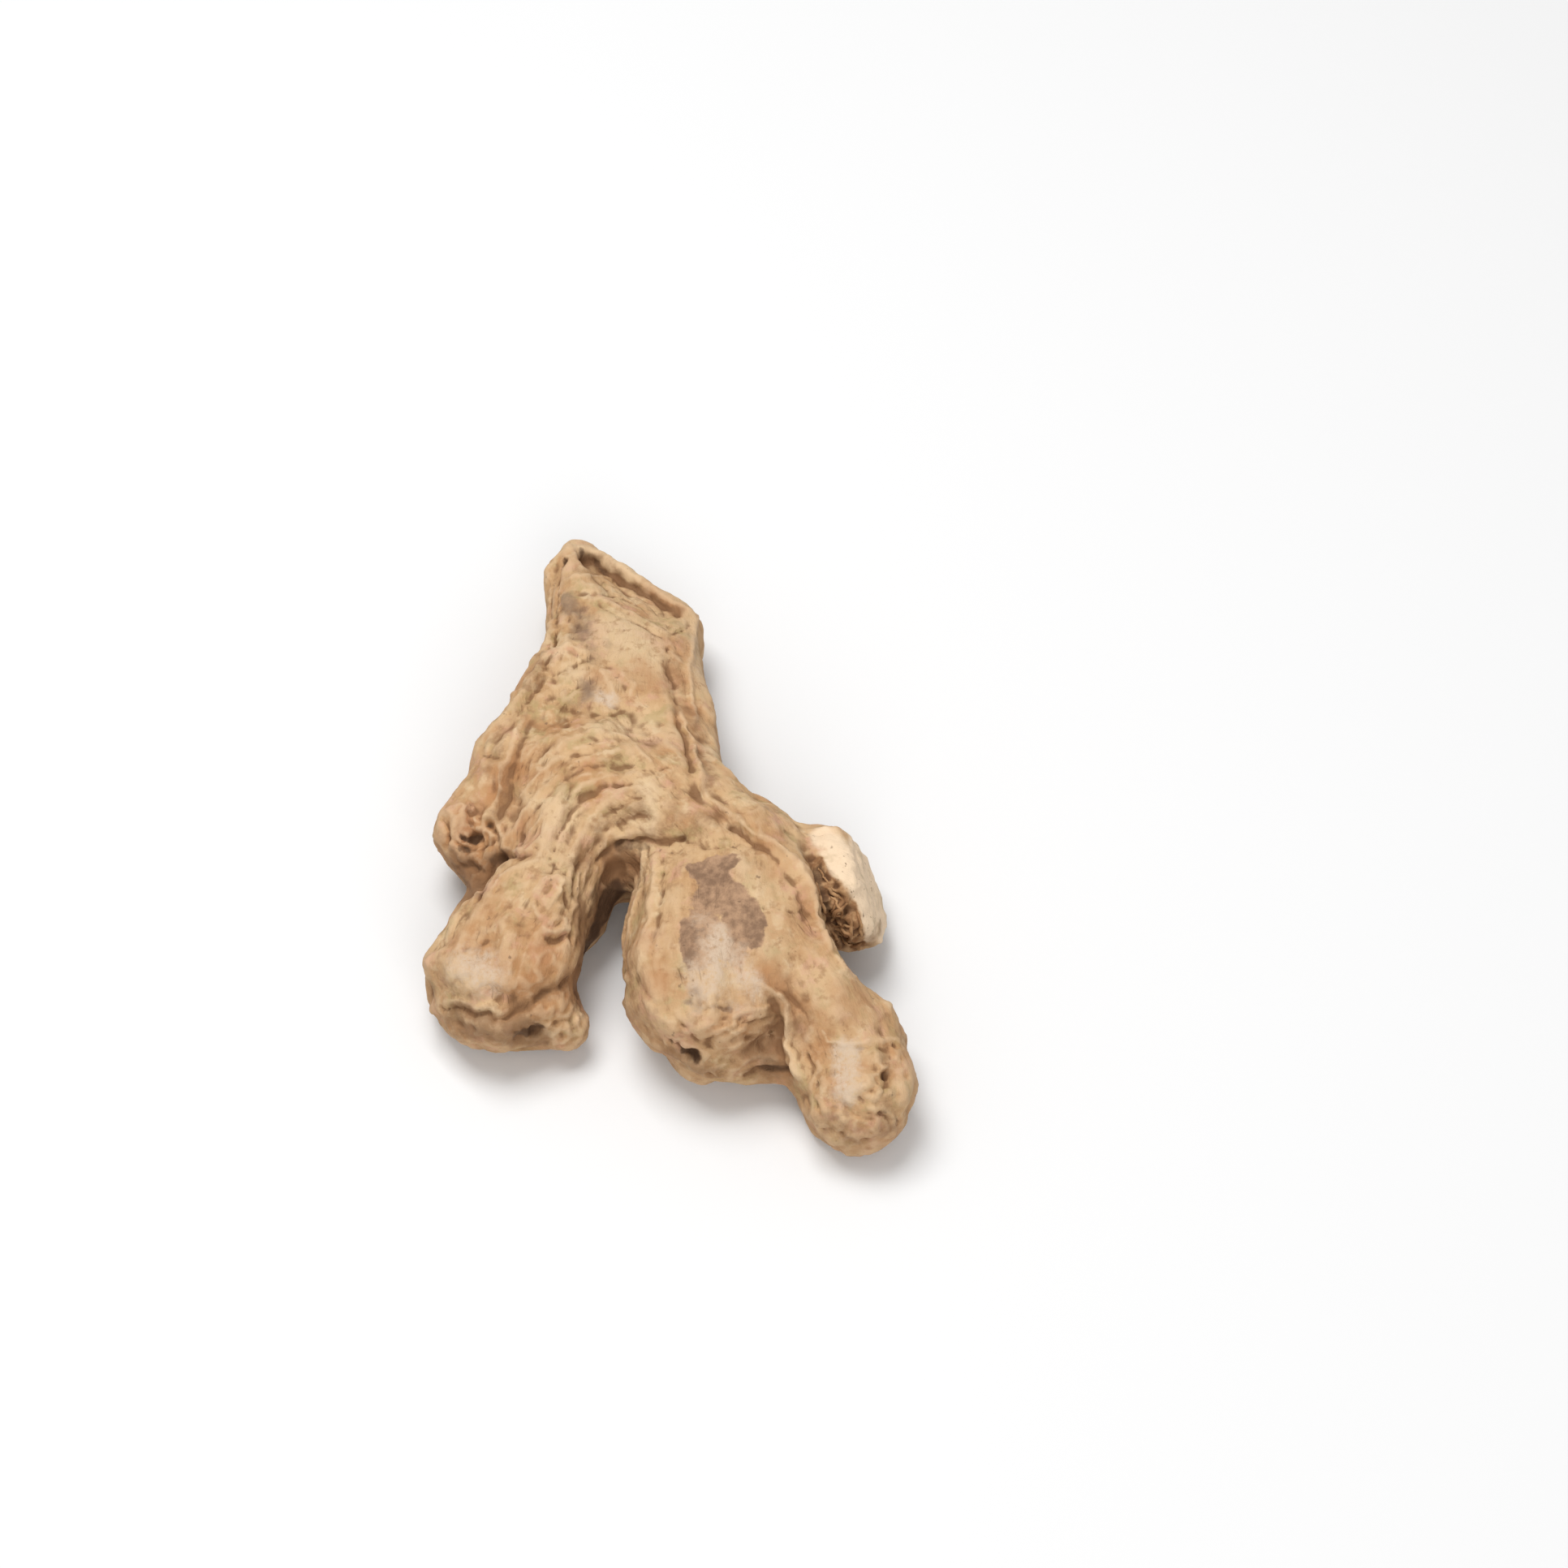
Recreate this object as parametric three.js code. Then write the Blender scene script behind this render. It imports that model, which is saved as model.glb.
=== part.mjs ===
// A dried ginger root: one whole rhizome ("hand") with its skin on, lying on its side.
//
// The rhizome runs along Y from a slanted, dried-out cut at +Y to a blunt end at -Y. It carries a long
// finger on its -X side, a short finger at its tip, a broken stub on its +X side and a few buds.
// It grew as one piece, so it is one solid. Millimetres, +Z up, standing on three low flat spots at Z = 0,
// with the origin under the middle of its bounding box.
//
// The solid is the zero level of a distance-like field: each branch is a tapering oval tube along a smooth
// line, the branches melt into each other, and relief from formulas and hand-placed folds lies on top.
import * as THREE from "three";

// ---------------------------------------------------------------- driving dimensions, mm
const CELL = 1.82; // edge of the sampling cells, which sets the size of the facets
const BLEND = 3.2; // how widely two branches melt into each other
const MARGIN = 5; // empty space kept around the branches while sampling

// Each branch: points along its middle as [x, y, z, half width, half thickness].
const BRANCHES = {
  rhizome: [
    [-9.0, 53.0, 8.5, 10.8, 8.7],
    [-8.2, 47.0, 8.8, 12.2, 9.3],
    [-7.7, 39.0, 9.8, 11.6, 9.4],
    [-8.6, 28.0, 11.0, 13.8, 9.4],
    [-8.8, 19.0, 11.9, 15.0, 9.6],
    [-6.2, 9.6, 12.4, 14.4, 9.8],
    [1.4, 2.0, 12.6, 10.8, 10.0],
    [8.6, -6.0, 12.6, 12.0, 10.4],
    [7.4, -16.0, 12.3, 12.8, 10.6],
    [6.4, -23.0, 11.5, 12.2, 10.4],
    [7.2, -27.2, 10.5, 10.8, 9.6],
  ],
  long_finger: [
    [-12.6, 9.5, 12.6, 9.6, 9.0],
    [-15.8, 1.0, 12.8, 8.6, 8.8],
    [-18.6, -7.4, 12.0, 8.5, 8.9],
    [-22.4, -15.2, 10.6, 9.9, 9.3],
    [-24.6, -20.6, 9.0, 11.2, 9.7],
  ],
  web: [
    [-5.4, 3.0, 9.6, 5.6, 6.2],
    [-10.6, -3.2, 8.6, 3.1, 4.6],
    [-12.4, -10.5, 8.0, 3.4, 4.6],
  ],
  finger_bud: [
    [-18.8, -24.4, 7.6, 5.0, 5.2],
    [-15.6, -27.4, 5.2, 3.6, 3.8],
  ],
  short_finger: [
    [12.6, -10.0, 12.8, 9.2, 9.0],
    [17.6, -20.4, 12.4, 6.2, 8.4],
    [23.2, -29.0, 11.0, 6.0, 8.0],
    [27.8, -34.4, 9.2, 8.2, 8.0],
    [28.4, -39.6, 7.5, 8.0, 8.2],
  ],
  short_tip: [
    [27.6, -42.2, 6.8, 5.8, 6.6],
    [29.6, -42.4, 7.0, 5.8, 6.8],
  ],
  blunt_heel: [
    [8.0, -27.0, 9.0, 8.6, 8.0],
    [15.4, -32.0, 6.4, 5.2, 5.6],
  ],
  side_knob: [
    [-20.6, 13.4, 11.2, 8.6, 8.2],
    [-26.8, 7.6, 10.8, 6.2, 6.4],
    [-30.4, 3.2, 10.2, 5.6, 5.6],
  ],
  knob_heel: [
    [-27.8, 3.4, 9.5, 5.2, 5.4],
    [-26.8, -1.4, 8.8, 4.6, 4.8],
    [-25.4, -5.6, 8.2, 4.0, 4.4],
  ],
  shoulder: [
    [-16.6, 22.4, 11.2, 9.6, 8.4],
    [-24.0, 18.4, 10.6, 6.6, 6.2],
  ],
  stub: [
    [13.0, -5.2, 12.0, 8.4, 8.4],
    [23.4, -6.8, 11.6, 8.7, 8.8],
    [29.4, -7.0, 11.0, 8.3, 8.4],
  ],
};
// Sections are a little squarer than an ellipse, because the flesh has collapsed between the edges.
const SQUARENESS = 2.3;
const STEPS_PER_SPAN = 4; // straight pieces between two branch points

// The +Y end is broken off straight across, and its upper side is a slanted mouth: a rim of skin stands
// round a face that has shrunk and sinks towards the far rim.
const END_POINT = new THREE.Vector3(-4.0, 52.2, 9.0);
const END_NORMAL = new THREE.Vector3(0.60, 0.79, -0.10).normalize();
const MOUTH_POINT = new THREE.Vector3(-7.0, 40.0, 18.2);
const MOUTH_NORMAL = new THREE.Vector3(0.28, 0.37, 0.885).normalize();
const FACE_NORMAL = new THREE.Vector3(0.38, 0.51, 0.77).normalize();
const RIM_THICKNESS = 2.5;
const END_EDGE = 1.8; // how widely the edges of the broken end are rounded
const RIM_EDGE = 1.6; // and the edges of the rim

// The broken face of the stub, cut no farther from its middle than the reach.
const STUB_POINT = new THREE.Vector3(31.4, -7.0, 10.0);
const STUB_NORMAL = new THREE.Vector3(0.93, 0.12, 0.34).normalize();
const STUB_REACH = 18;
const STUB_EDGE = 3.5;

// Folds of skin: [height, half width, points as [x, y] seen from above]. A furrow has a negative height.
const UPPER_FOLDS = [
  // the ridges along the right and the left shoulder
  [2.2, 1.5, [[2.5, 42.0], [3.0, 33.0], [4.5, 24.0], [6.5, 14.0], [8.5, 5.0]]],
  [1.8, 1.5, [[-17.5, 40.0], [-19.0, 33.0], [-23.0, 23.5], [-25.5, 14.0], [-27.5, 8.0]]],
  // arcs of skin that sweep from the rhizome into the long finger
  [1.5, 1.3, [[-2.5, 5.0], [-7.5, 2.5], [-11.5, -3.0], [-14.0, -9.5]]],
  [1.6, 1.3, [[-3.0, 11.0], [-10.0, 9.0], [-16.0, 2.0], [-18.5, -6.0]]],
  [1.5, 1.3, [[-9.0, 15.0], [-15.0, 12.0], [-20.5, 5.5]]],
  // the crack across the rhizome and the one above the fork
  [-1.2, 1.2, [[-19.0, 18.0], [-10.5, 18.5], [-3.0, 17.0], [3.0, 16.0]]],
  [-1.5, 1.3, [[-8.0, -4.5], [-3.5, -5.0], [1.0, -5.5]]],
  // the inner and outer edge of the blunt end, the outer one running out along the short finger
  [1.9, 1.5, [[-1.5, -8.0], [-1.5, -15.0], [-2.5, -24.0], [0.5, -33.0]]],
  [2.0, 1.5, [[10.0, 0.0], [18.5, -7.0], [22.0, -14.0], [23.5, -22.0], [26.5, -29.0]]],
  // the fold where the short finger begins, and the hollow beside it
  [2.1, 1.4, [[14.5, -24.5], [16.5, -29.0], [18.5, -32.0], [19.0, -35.5], [19.5, -38.5]]],
  [-1.7, 1.4, [[17.0, -33.5], [15.0, -34.5], [12.5, -36.0]]],
  // the furrow under the side knob, and the one between the stub and the rhizome
  [-2.8, 1.3, [[-20.5, -3.0], [-24.5, -4.8], [-27.0, -7.2], [-29.5, -9.0]]],
  [-2.2, 1.5, [[21.5, -1.5], [23.0, -9.0], [25.0, -15.0]]],
  // creases across the tips of the long and of the short finger
  [-1.8, 1.3, [[-34.0, -26.0], [-26.5, -29.0], [-19.5, -28.5], [-13.5, -23.5]]],
  [-1.3, 1.2, [[26.0, -36.5], [30.5, -36.0], [35.0, -33.0]]],
];
const UNDER_FOLDS = [
  [-1.8, 1.4, [[-20.0, -15.0], [-24.0, -7.0], [-21.0, 4.0], [-19.0, 17.0]]],
  [-1.9, 1.5, [[-1.0, 36.0], [0.0, 22.0], [6.0, 6.0], [9.0, -8.0]]],
  [1.6, 1.5, [[-14.0, 38.0], [-14.0, 22.0], [-7.0, 8.0], [0.0, -8.0]]],
  [1.4, 1.4, [[-22.0, 16.0], [-17.0, 6.0], [-16.0, -6.0]]],
  [-1.6, 1.4, [[12.0, -12.0], [18.0, -21.0], [23.0, -31.0]]],
  [1.4, 1.4, [[3.0, -12.0], [2.0, -22.0], [6.0, -31.0]]],
];

// Pits: [x, y, half width, depth], and scars of old stems: [x, y, ring radius, height].
const UPPER_PITS = [
  [-29.0, -0.5, 2.0, 2.2],
  [-29.8, 4.0, 1.5, 1.5],
  [4.5, -37.0, 2.2, 2.2],
  [32.5, -42.0, 1.8, 1.8],
];
const UPPER_SCARS = [[-16.5, -14.5, 2.9, 1.1]];
const UNDER_SCARS = [
  [-3.0, -14.0, 4.2, 1.0],
  [-10.0, 26.0, 4.6, 1.0],
];
const SCAR_WIDTH = 1.2;

// Wrinkles that run along each branch, and a coarse unevenness everywhere.
const WRINKLE_HEIGHT = 1.9;
const WRINKLE_LENGTH = 22; // distance along a branch over which a wrinkle changes
const WRINKLES_AROUND = 1.8; // how tightly wrinkles are packed round a branch
const LUMP_HEIGHT = 1.0;
const LUMP_SIZE = 7.5;

// Three feet carry the root: [x, y, radius]. Elsewhere the underside clears the ground a little.
const FEET = [
  [-24.6, -19.6, 3.6],
  [28.4, -40.2, 3.4],
  [-8.8, 48.0, 3.8],
];
const FOOT_SINK = 1.2; // how far the round underside may pass below the ground at a foot
const CLEARANCE = 0.9; // of the underside away from the feet
const GROUND_EDGE = 0.8; // how widely the edge between the two is rounded

// ---------------------------------------------------------------- noise
const SEED = 71;
const GRADIENTS = [
  [1, 1, 0], [-1, 1, 0], [1, -1, 0], [-1, -1, 0],
  [1, 0, 1], [-1, 0, 1], [1, 0, -1], [-1, 0, -1],
  [0, 1, 1], [0, -1, 1], [0, 1, -1], [0, -1, -1],
];

function gradientAt(i, j, k) {
  let h = Math.imul(i, 374761393) ^ Math.imul(j, 668265263) ^ Math.imul(k, 1440662683) ^ SEED;
  h = Math.imul(h ^ (h >>> 13), 1274126177);
  return GRADIENTS[((h ^ (h >>> 16)) >>> 0) % GRADIENTS.length];
}

// Smooth gradient noise from about -1 to 1.
function noise(x, y, z) {
  const cell = [x, y, z].map(Math.floor);
  const part = [x - cell[0], y - cell[1], z - cell[2]];
  const ease = part.map((t) => t * t * t * (t * (t * 6 - 15) + 10));
  let sum = 0;
  for (let corner = 0; corner < 8; corner++) {
    const o = [corner & 1, (corner >> 1) & 1, corner >> 2];
    const g = gradientAt(cell[0] + o[0], cell[1] + o[1], cell[2] + o[2]);
    const dot = o.reduce((s, one, axis) => s + g[axis] * (part[axis] - one), 0);
    const weight = o.reduce((w, one, axis) => w * (one ? ease[axis] : 1 - ease[axis]), 1);
    sum += weight * dot;
  }
  return sum;
}

// Crests from 0 to 1 where the noise crosses zero.
const crest = (n) => 1 - THREE.MathUtils.smoothstep(Math.abs(n), 0, 0.42);

// ---------------------------------------------------------------- branches
// Turns a branch's few points into short straight pieces.
function spansOf(points) {
  const middle = new THREE.CatmullRomCurve3(points.map(([x, y, z]) => new THREE.Vector3(x, y, z)));
  const section = new THREE.SplineCurve(points.map(([, , , a, b]) => new THREE.Vector2(a, b)));
  const count = (points.length - 1) * STEPS_PER_SPAN;
  const nodes = Array.from({ length: count + 1 }, (_, i) => {
    const p = middle.getPoint(i / count);
    const s = section.getPoint(i / count);
    return { p, a: s.x, b: s.y };
  });
  let along = 0;
  return nodes.slice(1).map((end, i) => {
    const start = nodes[i];
    const stretch = (start.a + end.a) / (start.b + end.b);
    const ex = end.p.x - start.p.x;
    const ey = end.p.y - start.p.y;
    const ez = (end.p.z - start.p.z) * stretch;
    const length = Math.hypot(ex, ey, ez);
    const span = { start: start.p, a0: start.a, a1: end.a, stretch, ex, ey, ez, length, along };
    along += length;
    return span;
  });
}

const branches = Object.values(BRANCHES).map(spansOf);

// The nearest place on a branch: distance to its skin, distance along it and the outward direction.
function nearestOn(spans, x, y, z) {
  let best = { d: Infinity };
  for (const s of spans) {
    const px = x - s.start.x;
    const py = y - s.start.y;
    const pz = (z - s.start.z) * s.stretch;
    const t = THREE.MathUtils.clamp((px * s.ex + py * s.ey + pz * s.ez) / (s.length * s.length), 0, 1);
    const dx = px - s.ex * t;
    const dy = py - s.ey * t;
    const dz = pz - s.ez * t;
    const width = s.a0 + (s.a1 - s.a0) * t;
    const level = Math.sqrt(dx * dx + dy * dy);
    if (0.9 * Math.sqrt(level * level + dz * dz) - width > best.d) continue;
    const away = (level ** SQUARENESS + Math.abs(dz) ** SQUARENESS) ** (1 / SQUARENESS);
    const d = away - width;
    if (d < best.d) best = { d, along: s.along + t * s.length, dx, dy, dz, away, width };
  }
  return best;
}

// Longitudinal wrinkles of one branch at one of its nearest places, lower on a thin branch.
function wrinkle(near, branch) {
  const k = WRINKLES_AROUND / Math.max(near.away, 1e-6);
  const along = near.along / WRINKLE_LENGTH + branch * 5.1 + 2.4;
  const height = WRINKLE_HEIGHT * Math.min(1, near.width / 12);
  return height * (crest(noise(near.dx * k + along * 0.2, near.dy * k, near.dz * k + along)) - 0.35);
}

// ---------------------------------------------------------------- the smooth body
const smoothMin = (a, b, k) => {
  const h = Math.max(k - Math.abs(a - b), 0) / k;
  return Math.min(a, b) - (h * h * k) / 4;
};
const smoothMax = (a, b, k) => -smoothMin(-a, -b, k);
const beyond = (x, y, z, point, normal) =>
  (x - point.x) * normal.x + (y - point.y) * normal.y + (z - point.z) * normal.z;

const meltedTogether = (nears) => nears.reduce((d, near) => smoothMin(d, near.d, BLEND), 1e3);
const nearestOnAll = (x, y, z) => branches.map((spans) => nearestOn(spans, x, y, z));
const bodyAt = (x, y, z) => meltedTogether(nearestOnAll(x, y, z));

// The point of the smooth body straight below (side = 1) or above (side = -1) a place seen in plan.
function onBody(x, y, side) {
  const middle = 11;
  const reach = side * 20;
  for (let step = 0; step <= 80; step++) {
    const z = middle + reach * (1 - step / 80);
    if (bodyAt(x, y, z) < 0) return new THREE.Vector3(x, y, z);
  }
  return new THREE.Vector3(x, y, middle);
}

// ---------------------------------------------------------------- folds, scars, pits, feet
function foldPlaces(list, side) {
  return list.map(([height, width, points]) => {
    const plan = new THREE.SplineCurve(points.map(([x, y]) => new THREE.Vector2(x, y)));
    const places = plan.getPoints(points.length * 6).map((p) => onBody(p.x, p.y, side));
    return { height, width, places };
  });
}
const folds = [...foldPlaces(UPPER_FOLDS, 1), ...foldPlaces(UNDER_FOLDS, -1)];
const pits = UPPER_PITS.map(([x, y, width, depth]) => ({ at: onBody(x, y, 1), width, depth }));
const scarPlaces = (list, side) =>
  list.map(([x, y, ring, height]) => ({ at: onBody(x, y, side), ring, height }));
const scars = [...scarPlaces(UPPER_SCARS, 1), ...scarPlaces(UNDER_SCARS, -1)];

function handRelief(p) {
  let sum = 0;
  for (const { height, width, places } of folds) {
    let nearest = Infinity;
    for (const place of places) nearest = Math.min(nearest, p.distanceToSquared(place));
    sum += height * Math.exp(-nearest / (2 * width * width));
  }
  for (const { at, width, depth } of pits) {
    sum -= depth * Math.exp(-p.distanceToSquared(at) / (width * width));
  }
  for (const { at, ring, height } of scars) {
    const off = (p.distanceTo(at) - ring) / SCAR_WIDTH;
    sum += height * Math.exp(-off * off);
  }
  return sum;
}

// 1 on a foot, fading to 0 around it.
function footShare(x, y) {
  return FEET.reduce((most, [fx, fy, r]) => {
    const off = Math.hypot(x - fx, y - fy);
    return Math.max(most, 1 - THREE.MathUtils.smoothstep(off, r, r * 2.4));
  }, 0);
}

// ---------------------------------------------------------------- the field
const probe = new THREE.Vector3();

// Negative inside the root, and about the distance to its skin.
function field(x, y, z) {
  const nears = nearestOnAll(x, y, z);
  const body = smoothMax(meltedTogether(nears), beyond(x, y, z, END_POINT, END_NORMAL), END_EDGE);
  if (body > MARGIN) return body;

  // The slanted mouth, the face behind its rim, and the stub's broken end.
  const mouth = beyond(x, y, z, MOUTH_POINT, MOUTH_NORMAL);
  const behindRim = smoothMin(-body - RIM_THICKNESS, beyond(x, y, z, MOUTH_POINT, FACE_NORMAL), RIM_EDGE);
  const nearStub = (STUB_REACH - Math.hypot(y - STUB_POINT.y, z - STUB_POINT.z)) / 2;
  const onStub = smoothMin(beyond(x, y, z, STUB_POINT, STUB_NORMAL), nearStub, 1);
  const atMouth = smoothMax(mouth, behindRim, RIM_EDGE);
  if (body < -MARGIN) return Math.max(body, atMouth, onStub);

  const closest = Math.min(...nears.map((near) => near.d));
  let wrinkles = 0;
  let weights = 0;
  nears.forEach((near, i) => {
    const weight = Math.exp((closest - near.d) / 1.5);
    if (weight < 0.02) return;
    wrinkles += weight * wrinkle(near, i);
    weights += weight;
  });
  const foot = footShare(x, y);
  const lumps = noise(x / LUMP_SIZE, y / LUMP_SIZE, z / LUMP_SIZE + 3.7);
  probe.set(x, y, z);
  let relief = wrinkles / weights + LUMP_HEIGHT * lumps + handRelief(probe);
  relief *= 1 - foot * (1 - THREE.MathUtils.smoothstep(z, 2, 6));
  relief *= 1 - THREE.MathUtils.smoothstep(mouth, -5, -0.5);

  const f = smoothMax(smoothMax(body - relief, atMouth, RIM_EDGE), onStub, STUB_EDGE);
  // The underside clears the ground except at the feet.
  return smoothMax(f, CLEARANCE * (1 - foot) - FOOT_SINK * foot - z, GROUND_EDGE);
}

// ---------------------------------------------------------------- from field to mesh
// Where two inside samples touch only across the diagonal of a square or of a cube, the skin would meet
// itself there. The outside sample that lies closest to the skin is taken in, until no such place is left.
function closeGaps(values, [nx, ny, nz], at) {
  const strides = [1, nx, nx * ny];
  const cube = [0, 1, 2, 3, 4, 5, 6, 7].map((c) => (c & 1) + ((c >> 1) & 1) * nx + (c >> 2) * nx * ny);
  const takeIn = (samples) => {
    const outside = samples.filter((n) => values[n] >= 0);
    values[outside.reduce((a, b) => (values[a] < values[b] ? a : b))] = -0.05;
  };
  for (let changed = true; changed; ) {
    changed = false;
    for (let k = 0; k < nz - 1; k++)
      for (let j = 0; j < ny - 1; j++)
        for (let i = 0; i < nx - 1; i++) {
          const here = at(i, j, k);
          for (let axis = 0; axis < 3; axis++) {
            const [u, w] = [strides[axis], strides[(axis + 1) % 3]];
            const square = [here, here + u, here + u + w, here + w];
            const [a, b, c, d] = square.map((n) => values[n] < 0);
            if (a !== c || b !== d || a === b) continue;
            takeIn(square);
            changed = true;
          }
          const signs = cube.map((o) => values[here + o] < 0);
          const inside = signs.filter(Boolean).length;
          if (inside !== 2 && inside !== 6) continue;
          const odd = signs.indexOf(inside === 2);
          if (signs[7 - odd] !== signs[odd]) continue;
          takeIn(cube.map((o) => here + o));
          changed = true;
        }
  }
}

// One vertex in each cell that the skin passes through, and one face for each cell edge that it crosses.
function surface() {
  const low = new THREE.Vector3(Infinity, Infinity, Infinity);
  const high = low.clone().negate();
  for (const [x, y, z, a, b] of Object.values(BRANCHES).flat()) {
    low.min(probe.set(x - a, y - a, z - b));
    high.max(probe.set(x + a, y + a, z + b));
  }
  low.subScalar(MARGIN);
  high.addScalar(MARGIN);
  const size = high.clone().sub(low).divideScalar(CELL).ceil();
  const [nx, ny, nz] = [size.x + 1, size.y + 1, size.z + 1];
  const at = (i, j, k) => (k * ny + j) * nx + i;
  const values = new Float64Array(nx * ny * nz);
  for (let k = 0; k < nz; k++)
    for (let j = 0; j < ny; j++)
      for (let i = 0; i < nx; i++)
        values[at(i, j, k)] = field(low.x + i * CELL, low.y + j * CELL, low.z + k * CELL);

  closeGaps(values, [nx, ny, nz], at);

  const corners = [0, 1, 2, 3, 4, 5, 6, 7].map((c) => [c & 1, (c >> 1) & 1, c >> 2]);
  const edges = [];
  for (let m = 0; m < 8; m++) {
    for (const bit of [1, 2, 4]) if (!(m & bit)) edges.push([m, m | bit]);
  }

  const vertexOf = new Map();
  const vertices = [];
  for (let k = 0; k < nz - 1; k++)
    for (let j = 0; j < ny - 1; j++)
      for (let i = 0; i < nx - 1; i++) {
        const v = corners.map(([a, b, c]) => values[at(i + a, j + b, k + c)]);
        const sum = new THREE.Vector3();
        let crossings = 0;
        for (const [m, n] of edges) {
          if (v[m] < 0 === v[n] < 0) continue;
          const t = v[m] / (v[m] - v[n]);
          sum.add(new THREE.Vector3(...corners[m]).lerp(probe.set(...corners[n]), t));
          crossings++;
        }
        if (!crossings) continue;
        vertexOf.set(at(i, j, k), vertices.length);
        vertices.push(sum.divideScalar(crossings).add(probe.set(i, j, k)).multiplyScalar(CELL).add(low));
      }

  const faces = [];
  const strides = [1, nx, nx * ny];
  for (let k = 1; k < nz - 1; k++)
    for (let j = 1; j < ny - 1; j++)
      for (let i = 1; i < nx - 1; i++)
        for (let axis = 0; axis < 3; axis++) {
          const here = at(i, j, k);
          const inside = values[here] < 0;
          if (inside === values[here + strides[axis]] < 0) continue;
          const u = strides[(axis + 1) % 3];
          const w = strides[(axis + 2) % 3];
          const ring = [here, here - u, here - u - w, here - w].map((cell) => vertexOf.get(cell));
          faces.push(inside ? ring : ring.reverse());
        }
  return { vertices, faces };
}

const STEP = 0.25; // of the field's slope, mm

// Moves a vertex along the field's slope onto the skin.
function ontoSkin(v) {
  const here = field(v.x, v.y, v.z);
  const slope = new THREE.Vector3(
    field(v.x + STEP, v.y, v.z) - field(v.x - STEP, v.y, v.z),
    field(v.x, v.y + STEP, v.z) - field(v.x, v.y - STEP, v.z),
    field(v.x, v.y, v.z + STEP) - field(v.x, v.y, v.z - STEP),
  ).divideScalar(2 * STEP);
  const shift = THREE.MathUtils.clamp(-here / Math.max(slope.lengthSq(), 0.2), -CELL / 3, CELL / 3);
  v.addScaledVector(slope, shift);
}

const ROUNDS = 3; // of evening out and moving back onto the skin
const EVENING = 0.35; // share of the way to the neighbours' middle
const LAST_EVENING = 0.3;

function evenOut(vertices, faces, share) {
  const sums = vertices.map(() => new THREE.Vector3());
  const counts = new Uint16Array(vertices.length);
  for (const face of faces)
    face.forEach((a, i) => {
      const b = face[(i + 1) % face.length];
      sums[a].add(vertices[b]);
      counts[a]++;
      sums[b].add(vertices[a]);
      counts[b]++;
    });
  vertices.forEach((v, i) => v.lerp(sums[i].divideScalar(counts[i]), share));
}

function rootGeometry() {
  const { vertices, faces } = surface();
  for (let round = 0; round < ROUNDS; round++) {
    evenOut(vertices, faces, EVENING);
    vertices.forEach(ontoSkin);
  }
  evenOut(vertices, faces, LAST_EVENING);
  for (const v of vertices) v.z = Math.max(v.z, 0); // the feet are flat
  const triangles = faces.flatMap(([a, b, c, d]) =>
    vertices[a].distanceTo(vertices[c]) < vertices[b].distanceTo(vertices[d])
      ? [a, b, c, a, c, d]
      : [b, c, d, b, d, a],
  );
  const geometry = new THREE.BufferGeometry();
  const positions = vertices.flatMap((v) => [v.x, v.y, v.z]);
  geometry.setAttribute("position", new THREE.Float32BufferAttribute(positions, 3));
  geometry.setIndex(triangles);
  geometry.computeBoundingBox();
  const middle = geometry.boundingBox.getCenter(new THREE.Vector3());
  geometry.translate(-middle.x, -middle.y, 0);
  geometry.computeVertexNormals();
  return geometry;
}

// ---------------------------------------------------------------- the part
const skin = new THREE.MeshStandardMaterial({ color: 0xc99f74, roughness: 0.88, metalness: 0 });
const root = new THREE.Mesh(rootGeometry(), skin);
root.name = "ginger_root";

const part = new THREE.Group();
part.name = "dried_ginger_root";
part.add(root);

export default part;
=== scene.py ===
"""A dried ginger root: its shrunken skin, scars, rubbed patches and dry fibres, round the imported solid.

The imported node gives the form. Its skin is rebuilt here in triangles about 0.4 mm wide and folded into the
ridges, creases, cracks and pits of a dried rhizome. What the photograph shows is placed by named rows of
pixels, which are cast from the camera onto the skin. Everything else comes from seeded noise that runs
along the branches, on every side of the root.

Lengths are millimetres while sculpting and become metres where a mesh is made.
"""

import math

import bpy
import numpy as np
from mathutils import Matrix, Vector
from mathutils.bvhtree import BVHTree


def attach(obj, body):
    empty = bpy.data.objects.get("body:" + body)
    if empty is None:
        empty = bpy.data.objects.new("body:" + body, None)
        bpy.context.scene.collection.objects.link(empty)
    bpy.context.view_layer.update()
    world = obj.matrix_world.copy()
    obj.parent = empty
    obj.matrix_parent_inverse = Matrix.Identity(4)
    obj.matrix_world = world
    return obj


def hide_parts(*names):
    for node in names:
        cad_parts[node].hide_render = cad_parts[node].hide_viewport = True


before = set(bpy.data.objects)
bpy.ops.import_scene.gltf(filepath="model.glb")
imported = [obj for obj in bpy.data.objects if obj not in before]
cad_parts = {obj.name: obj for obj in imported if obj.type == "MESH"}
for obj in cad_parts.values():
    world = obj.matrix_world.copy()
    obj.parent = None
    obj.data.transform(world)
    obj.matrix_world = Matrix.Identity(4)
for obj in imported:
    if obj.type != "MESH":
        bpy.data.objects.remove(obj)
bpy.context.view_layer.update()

MM = 0.001
NODE = "ginger_root"
SLOT = "ginger_skin"
SEED = 20


# ---------------- camera
PHOTO_SIZE = 1932  # pixels, both ways
CAMERA_AIM = np.array([17.2, 6.47, 11.0])
CAMERA_ELEVATION = math.radians(55)
CAMERA_DISTANCE = 700.0
VIEW_HALF_WIDTH = 120.75  # at the aim
SENSOR = 36.0

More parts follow.
